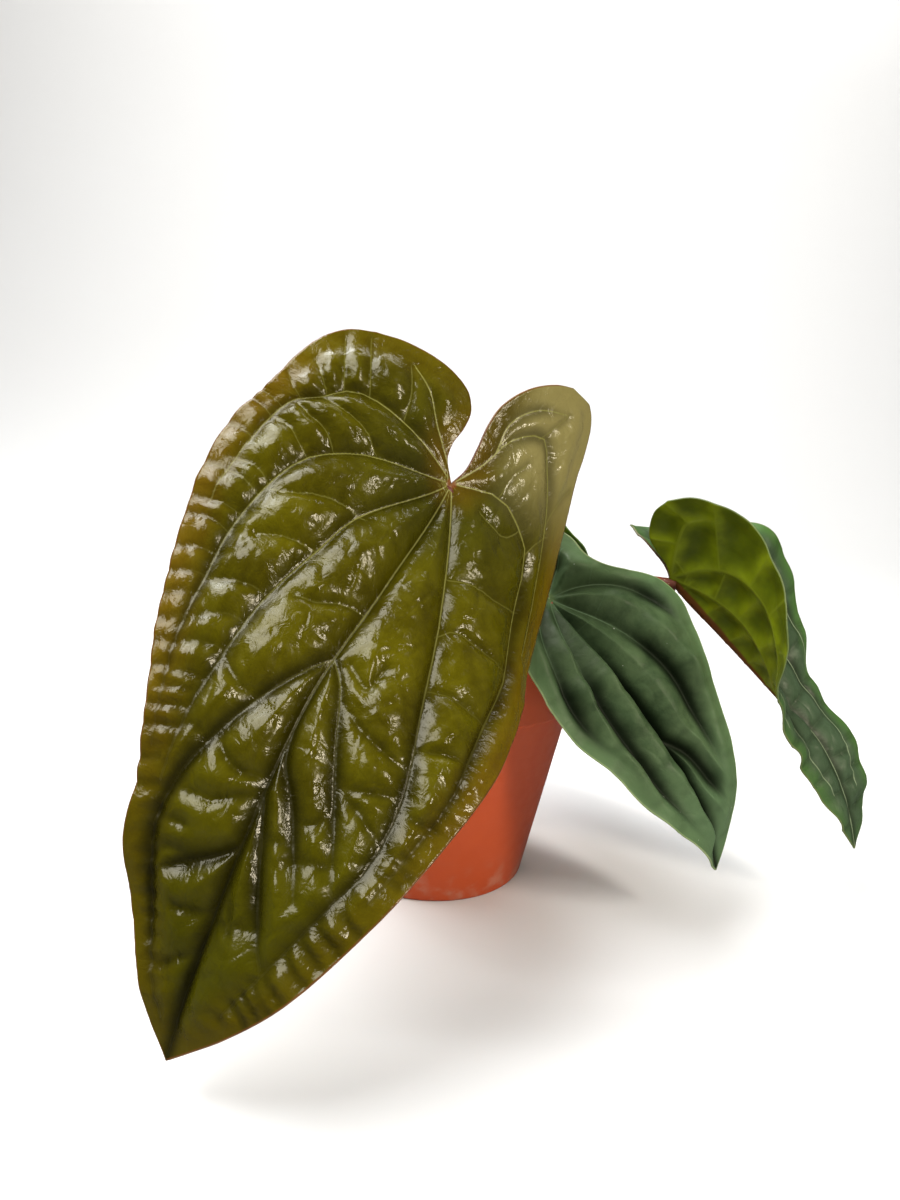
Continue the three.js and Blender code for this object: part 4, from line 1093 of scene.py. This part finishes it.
def leaf_stalk():
    """Leaf stalk: firm, half-glossy skin, red-brown over green, with fine grooves along it and pale dots."""
    material, add, finish = new_material("leaf stalk skin")
    chart = add("Attribute", result="Vector", attribute_name="chart")
    along = add("Mapping", {"Vector": chart, "Scale": (0.12, 1, 1)})
    grooves = add("TexNoise", {"Vector": along, "Scale": per_metre(STALK_PATTERN["groove"]), "Detail": 3})
    patches = add("TexNoise", {"Vector": chart, "Scale": per_metre(STALK_PATTERN["patch"]), "Detail": 3})
    dots = add("TexVoronoi", {"Vector": chart, "Scale": per_metre(STALK_PATTERN["dot"])})
    colour = painted(add, linear("#5c2a1c"), [
        (add("MapRange", [patches, 0.35, 0.65], **EASED), "#7d3f28"),
        (add("Attribute", result="Fac", attribute_name="base"), "#6c5a2c"),
        (add("MapRange", [dots, 0.08, 0.16, 0.6, 0], **EASED), "#b59270"),
    ])
    finish({
        "Base Color": colour, "Roughness": 0.4, "Coat Weight": 0.15, "Coat Roughness": 0.2,
        "Normal": add("Bump", {"Height": grooves, "Distance": 0.15 * MM}),
    })
    return material


# Pot


def wall_radius(z):
    """Outer radius of the pot's wall at a height."""
    body_top = POT["height"] - POT["collar_height"]
    if z <= body_top:
        return POT["base_radius"] + (POT["body_top_radius"] - POT["base_radius"]) * z / body_top
    collar_top = POT["rim_radius"] - POT["lip_width"] / 2
    return POT["collar_radius"] + (collar_top - POT["collar_radius"]) * (z - body_top) / POT["collar_height"]


def build_pot():
    """The pot with its rolled rim, collar, tapered wall, foot ring and drain holes."""
    height, wall, floor = POT["height"], POT["wall"], POT["floor"]
    rim, base, foot = POT["rim_radius"], POT["base_radius"], POT["base_radius"] - POT["foot_width"]
    step = height - POT["collar_height"]
    under_lip = height - POT["lip_height"]
    profile = [
        [0, 0], [foot - 2, 0], [foot - 1, POT["foot_height"] * 0.6], [foot, 0], [base - 1, 0], [base, 1],
        [wall_radius(step - 1), step - 1], [POT["collar_radius"], step],
        [wall_radius(under_lip), under_lip], [rim, under_lip + 0.6], [rim, height - 0.9], [rim - 0.9, height],
        [rim - POT["lip_width"], height], [wall_radius(under_lip) - wall, under_lip],
        [POT["collar_radius"] - wall, step], [wall_radius(step - 3) - wall, step - 3],
        [wall_radius(floor) - wall, floor], [0, floor],
    ]
    vertices, faces = turned(rounded(profile, 0.7), 160)
    pot = mesh_object("nursery_pot", vertices * MM, faces, [moulded_polypropylene()])
    drills = []
    for k in range(POT["drain_holes"]):
        angle = 2 * math.pi * (k + 0.5) / POT["drain_holes"]
        drill = [[0, -1], [POT["drain_radius"], -1], [POT["drain_radius"], floor + 1], [0, floor + 1]]
        vertices, faces = turned(drill, 32)
        at = POT["drain_circle"] * np.array([math.cos(angle), math.sin(angle), 0])
        drills.append((vertices + at, faces))
    cutter = joined("drain_drills", drills, [])
    cut = pot.modifiers.new("drain holes", "BOOLEAN")
    cut.operation = "DIFFERENCE"
    cut.solver = "EXACT"
    cut.object = cutter
    bpy.context.view_layer.objects.active = pot
    bpy.ops.object.modifier_apply(modifier=cut.name)
    bpy.data.objects.remove(cutter)
    pot.data.set_sharp_from_angle(angle=math.radians(50))
    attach(pot, "root")
    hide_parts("pot")


# Potting mix


def mix_height(x, y):
    """Height of the lumpy, slightly mounded surface of the mix."""
    mound = MIX["mound"] * (1 - (x * x + y * y) / wall_radius(MIX["surface"])**2)
    lumps = noise.fractal((x / MIX["chunk"], y / MIX["chunk"], 1.3), 1.0, 2.0, 4)
    return MIX["surface"] + mound + MIX["lump"] * lumps - MIX["settled"]


def build_mix(material):
    """The plug of potting mix, with a lumpy surface and a plain hole that the cane stands in."""
    fit = wall_radius(MIX["surface"]) - POT["wall"] - MIX["fit"]
    rings, spokes = 70, 180
    step = POT["height"] - POT["collar_height"]
    angle = np.linspace(0, 2 * math.pi, spokes, endpoint=False)
    vertices, shades = [], []
    hole = STEM["radius"] + 0.1
    for ring in range(rings + 1):
        radius = hole + (fit - hole) * ring / rings
        for a in angle:
            x, y = radius * math.cos(a), radius * math.sin(a)
            vertices.append([x, y, mix_height(x, y) if ring < rings else MIX["surface"] - 1])
            shades.append(0.5 + 0.5 * noise.noise((x / 3, y / 3, 9.1)))

    # Under the surface the plug of mix follows the wall down, a little narrower where the wall steps in
    below = [[wall_radius(z) - POT["wall"] - MIX["fit"] - inset, z]
             for z, inset in ((step + 0.5, 0.4), (step - 4, 0.3), (POT["floor"] + 0.3, 0))]
    for radius, z in [*below, [hole, POT["floor"] + 0.3]]:
        for a in angle:
            vertices.append([radius * math.cos(a), radius * math.sin(a), z])
            shades.append(0.3)
    faces = []
    circles = rings + 1 + len(below) + 1
    for ring in range(circles):
        inner, outer = ring * spokes, (ring + 1) % circles * spokes
        for k in range(spokes):
            after = (k + 1) % spokes
            faces.append([inner + k, outer + k, outer + after, inner + after])
    mix = mesh_object("potting_surface", np.array(vertices) * MM, faces, [material])
    store(mix, "shade", shades)
    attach(mix, "root")
    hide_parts("potting_mix")


def crumbs(name, count, sizes, flatness, material, seed):
    """Loose grains that lie half sunk in the potting mix, each a lumpy block turned at random."""
    rng = np.random.default_rng(seed)
    template = bpy.data.meshes.new("grain")
    shape = bmesh.new()
    bmesh.ops.create_icosphere(shape, subdivisions=2, radius=1)
    shape.to_mesh(template)
    shape.free()
    ball = np.array([v.co[:] for v in template.vertices])
    ball_faces = [list(face.vertices) for face in template.polygons]
    bpy.data.meshes.remove(template)
    reach = wall_radius(MIX["surface"]) - POT["wall"] - 2
    blocky = np.sign(ball) * np.abs(ball)**0.7
    parts, shades = [], []
    while len(parts) < count:
        x, y = rng.uniform(-reach, reach, 2)
        size = rng.uniform(*sizes)
        radius = math.hypot(x, y)
        if radius > reach - size or radius < STEM["radius"] + size:
            continue
        lumps = np.array([noise.noise(Vector(p * 1.4 + len(parts))) for p in ball])
        grain = blocky * (1 + 0.18 * lumps)[:, None]
        grain *= size * np.array([1, rng.uniform(0.55, 0.9), rng.uniform(*flatness)])
        turn = Matrix.Rotation(rng.uniform(0, 2 * math.pi), 3, "Z")
        tilt = Matrix.Rotation(rng.uniform(-0.5, 0.5), 3, "X")
        place = [x, y, mix_height(x, y) + 0.15 * size]
        parts.append((grain @ np.array(turn @ tilt).T + place, ball_faces))
        shades.extend([rng.uniform(0, 1)] * len(ball))
    grains = joined(name, parts, [material])
    store(grains, "shade", shades)
    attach(grains, "root")


# Cane and stalks


def build_cane():
    """The short cane, with a raised ring at each old leaf's place and a blunt growing tip."""
    profile = [[0, STEM["bottom"]], [STEM["radius"] - 1, STEM["bottom"]]]
    z = STEM["bottom"] + STEM["node_step"]
    while z < STEM["top"] - 2:
        profile += [[STEM["radius"] - STEM["node_rise"], z - 2], [STEM["radius"], z - 0.4],
                    [STEM["radius"] - 0.1, z + 0.3], [STEM["radius"] - STEM["node_rise"], z + 1.5]]
        z += STEM["node_step"]
    profile += [[STEM["radius"] - 1.5, STEM["top"]], [2.2, STEM["top"] + 3], [0, STEM["tip"]]]
    vertices, faces = turned(rounded(profile, 1.5), 64)
    cane = mesh_object("ringed_cane", vertices * MM, faces, [cane_bark()])
    nearest_ring = np.abs((vertices[:, 2] - STEM["bottom"] + STEM["node_step"] / 2) % STEM["node_step"]
                          - STEM["node_step"] / 2)
    store(cane, "ring", 1 - smoothstep(0.8, 2.2, nearest_ring))
    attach(cane, "root")
    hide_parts("stem")


def build_stalk(name, stalk, material):
    """One leaf stalk: wide where it clasps the cane, then slim, with a thicker knee below the blade."""
    frames = midrib_frames(stalk["blade"])
    seat = frame_at(frames, STALK["seat"], "point")
    normal = frame_at(frames, STALK["seat"], "normal")
    path, length = stalk_path([*stalk["points"], seat - normal * BLADE_THICKNESS], 90)
    along = np.linspace(0, length, len(path))
    knee = smoothstep(length - STALK["knee_length"] - 4, length - STALK["knee_length"], along)
    knee = knee * (1 - 0.45 * smoothstep(length - 4, length, along))
    base = 1 - smoothstep(4, 22, along)
    radius = STALK["radius"] + (STALK["base_radius"] - STALK["radius"]) * base
    radius = stalk["scale"] * (radius + (STALK["knee_radius"] - STALK["radius"]) * knee)
    sides = 24
    vertices, faces = tube(path, radius, sides)
    made = mesh_object(name, vertices * MM, faces, [material])
    angle = np.tile(np.linspace(0, 2 * math.pi, sides, endpoint=False), len(path))
    lengthwise = np.repeat(along, sides)
    wide = np.repeat(radius, sides)
    chart = np.column_stack([lengthwise, wide * np.cos(angle), wide * np.sin(angle)])
    ends = [[0, 0, 0], [length, 0, 0]]
    store(made, "chart", np.concatenate([chart, ends]) * MM)
    store(made, "base", np.concatenate([np.repeat(base, sides), [1, 0]]))
    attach(made, "root")
    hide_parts(stalk["node"])


# Stage, light and camera, in metres unless a name says otherwise

STAGE = {
    "front": -1.6, "bend": 0.9, "bend_radius": 0.8, "top": 4, "half_width": 4,
    "sky": "#fafafa", "sky_strength": 0.1,
}
PLANT_MIDDLE = (0, -0.06, 0.12)
LIGHTS = {
    # name: place, what it points at, width and height, watts, colour
    "upper left softbox": ((-0.5, -0.2, 1.05), PLANT_MIDDLE, (0.9, 0.6), 20, "#f3f6f8"),
    "back left strip": ((-0.45, 0.4, 0.9), PLANT_MIDDLE, (0.5, 0.25), 5, "#eef4fa"),
    "right window": ((0.85, -0.66, 0.72), PLANT_MIDDLE, (0.16, 0.4), 10, "#fffaf2"),
    "backdrop light": ((0, 1.0, 1.7), (0, 1.7, 0.8), (1.8, 0.4), 24, "#ffffff"),
}
CAMERA = {"place_mm": (0.7, -407.8, 213.5), "pitch": 13.5, "roll": 5.8, "lens_mm": 30, "film_mm": 36}


def build_stage():
    """A pale floor that curves up behind into a backdrop. The paper stays out of reflections: in the gloss of
    a blade's flat parts it would lay a grey veil over them, which the real blade doesn't have."""
    radius = STAGE["bend_radius"]
    profile = [[STAGE["front"], 0]]
    for turn in np.linspace(0, math.pi / 2, 24):
        profile.append([STAGE["bend"] + radius * math.sin(turn), radius - radius * math.cos(turn)])
    profile.append([STAGE["bend"] + radius, STAGE["top"]])
    vertices = [[side * STAGE["half_width"], y, z] for y, z in profile for side in (-1, 1)]
    faces = [[2 * i, 2 * i + 1, 2 * i + 3, 2 * i + 2] for i in range(len(profile) - 1)]
    material, _, finish = new_material("matt white studio paper")
    finish({"Base Color": linear("#e6e5e3"), "Roughness": 0.9})
    floor = mesh_object("studio_floor", vertices, faces, [material])
    floor.visible_glossy = False


def area_light(name, place, target, size, power, colour):
    """One rectangular soft light at a place, turned towards its target."""
    data = bpy.data.lights.new(name, "AREA")
    data.shape = "RECTANGLE"
    data.size, data.size_y = size
    data.energy = power
    data.color = linear(colour)[:3]
    lamp = bpy.data.objects.new(name, data)
    lamp.location = place
    lamp.rotation_euler = (Vector(target) - Vector(place)).to_track_quat("-Z", "Y").to_euler()
    bpy.context.scene.collection.objects.link(lamp)


def build_lights():
    """The studio's soft lights, and a faint even light from all around."""
    for name, settings in LIGHTS.items():
        area_light(name, *settings)
    world = bpy.data.worlds.new("studio")
    bpy.context.scene.world = world
    world.use_nodes = True
    background = world.node_tree.nodes["Background"]
    background.inputs["Color"].default_value = linear(STAGE["sky"])
    background.inputs["Strength"].default_value = STAGE["sky_strength"]


def build_camera():
    """The photograph's view: from in front and a little above, tilted a few degrees."""
    pitch, roll = math.radians(CAMERA["pitch"]), math.radians(CAMERA["roll"])
    forward = Vector((0, math.cos(pitch), -math.sin(pitch)))
    level_right = Vector((1, 0, 0))
    level_up = Vector((0, math.sin(pitch), math.cos(pitch)))
    right = level_right * math.cos(roll) + level_up * math.sin(roll)
    up = level_up * math.cos(roll) - level_right * math.sin(roll)
    data = bpy.data.cameras.new("camera")
    data.lens, data.sensor_width = CAMERA["lens_mm"], CAMERA["film_mm"]
    camera = bpy.data.objects.new("camera", data)
    camera.matrix_world = Matrix((right, up, -forward)).transposed().to_4x4()
    camera.location = Vector(CAMERA["place_mm"]) * MM
    bpy.context.scene.collection.objects.link(camera)
    bpy.context.scene.camera = camera


def build_plant():
    """The four blades, their stalks and the cane that the stalks grow from."""
    blades = (
        ("front_blade", "leaf_1", FRONT_BLADE, BRONZE_LEAF, "leaf_bronze"),
        ("right_blade", "leaf_2", RIGHT_BLADE, BLUE_GREEN_LEAF, "leaf_green"),
        ("far_blade", "leaf_3", FAR_BLADE, OLIVE_LEAF, "leaf_green"),
        ("back_blade", "leaf_4", BACK_BLADE, BRIGHT_LEAF, "leaf_green"),
    )
    for name, cad_node, blade, look, slot in blades:
        made = blade_object(name, blade, leaf_materials(name.replace("_", " "), look))
        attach(made, "root")
        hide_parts(cad_node)
    skin = leaf_stalk()
    for name, stalk in STALKS.items():
        build_stalk(name, stalk, skin)
    build_cane()


build_camera()
build_stage()
build_lights()
build_pot()
bark = composted_bark()
build_mix(bark)
crumbs("bark_chunks", count=260, sizes=(1.6, 4.2), flatness=(0.35, 0.6), material=bark, seed=5)
perlite = expanded_perlite()
crumbs("perlite_grains", count=90, sizes=(0.8, 2.0), flatness=(0.7, 1.0), material=perlite, seed=11)
build_plant()
bpy.context.scene.view_settings.view_transform = "Standard"
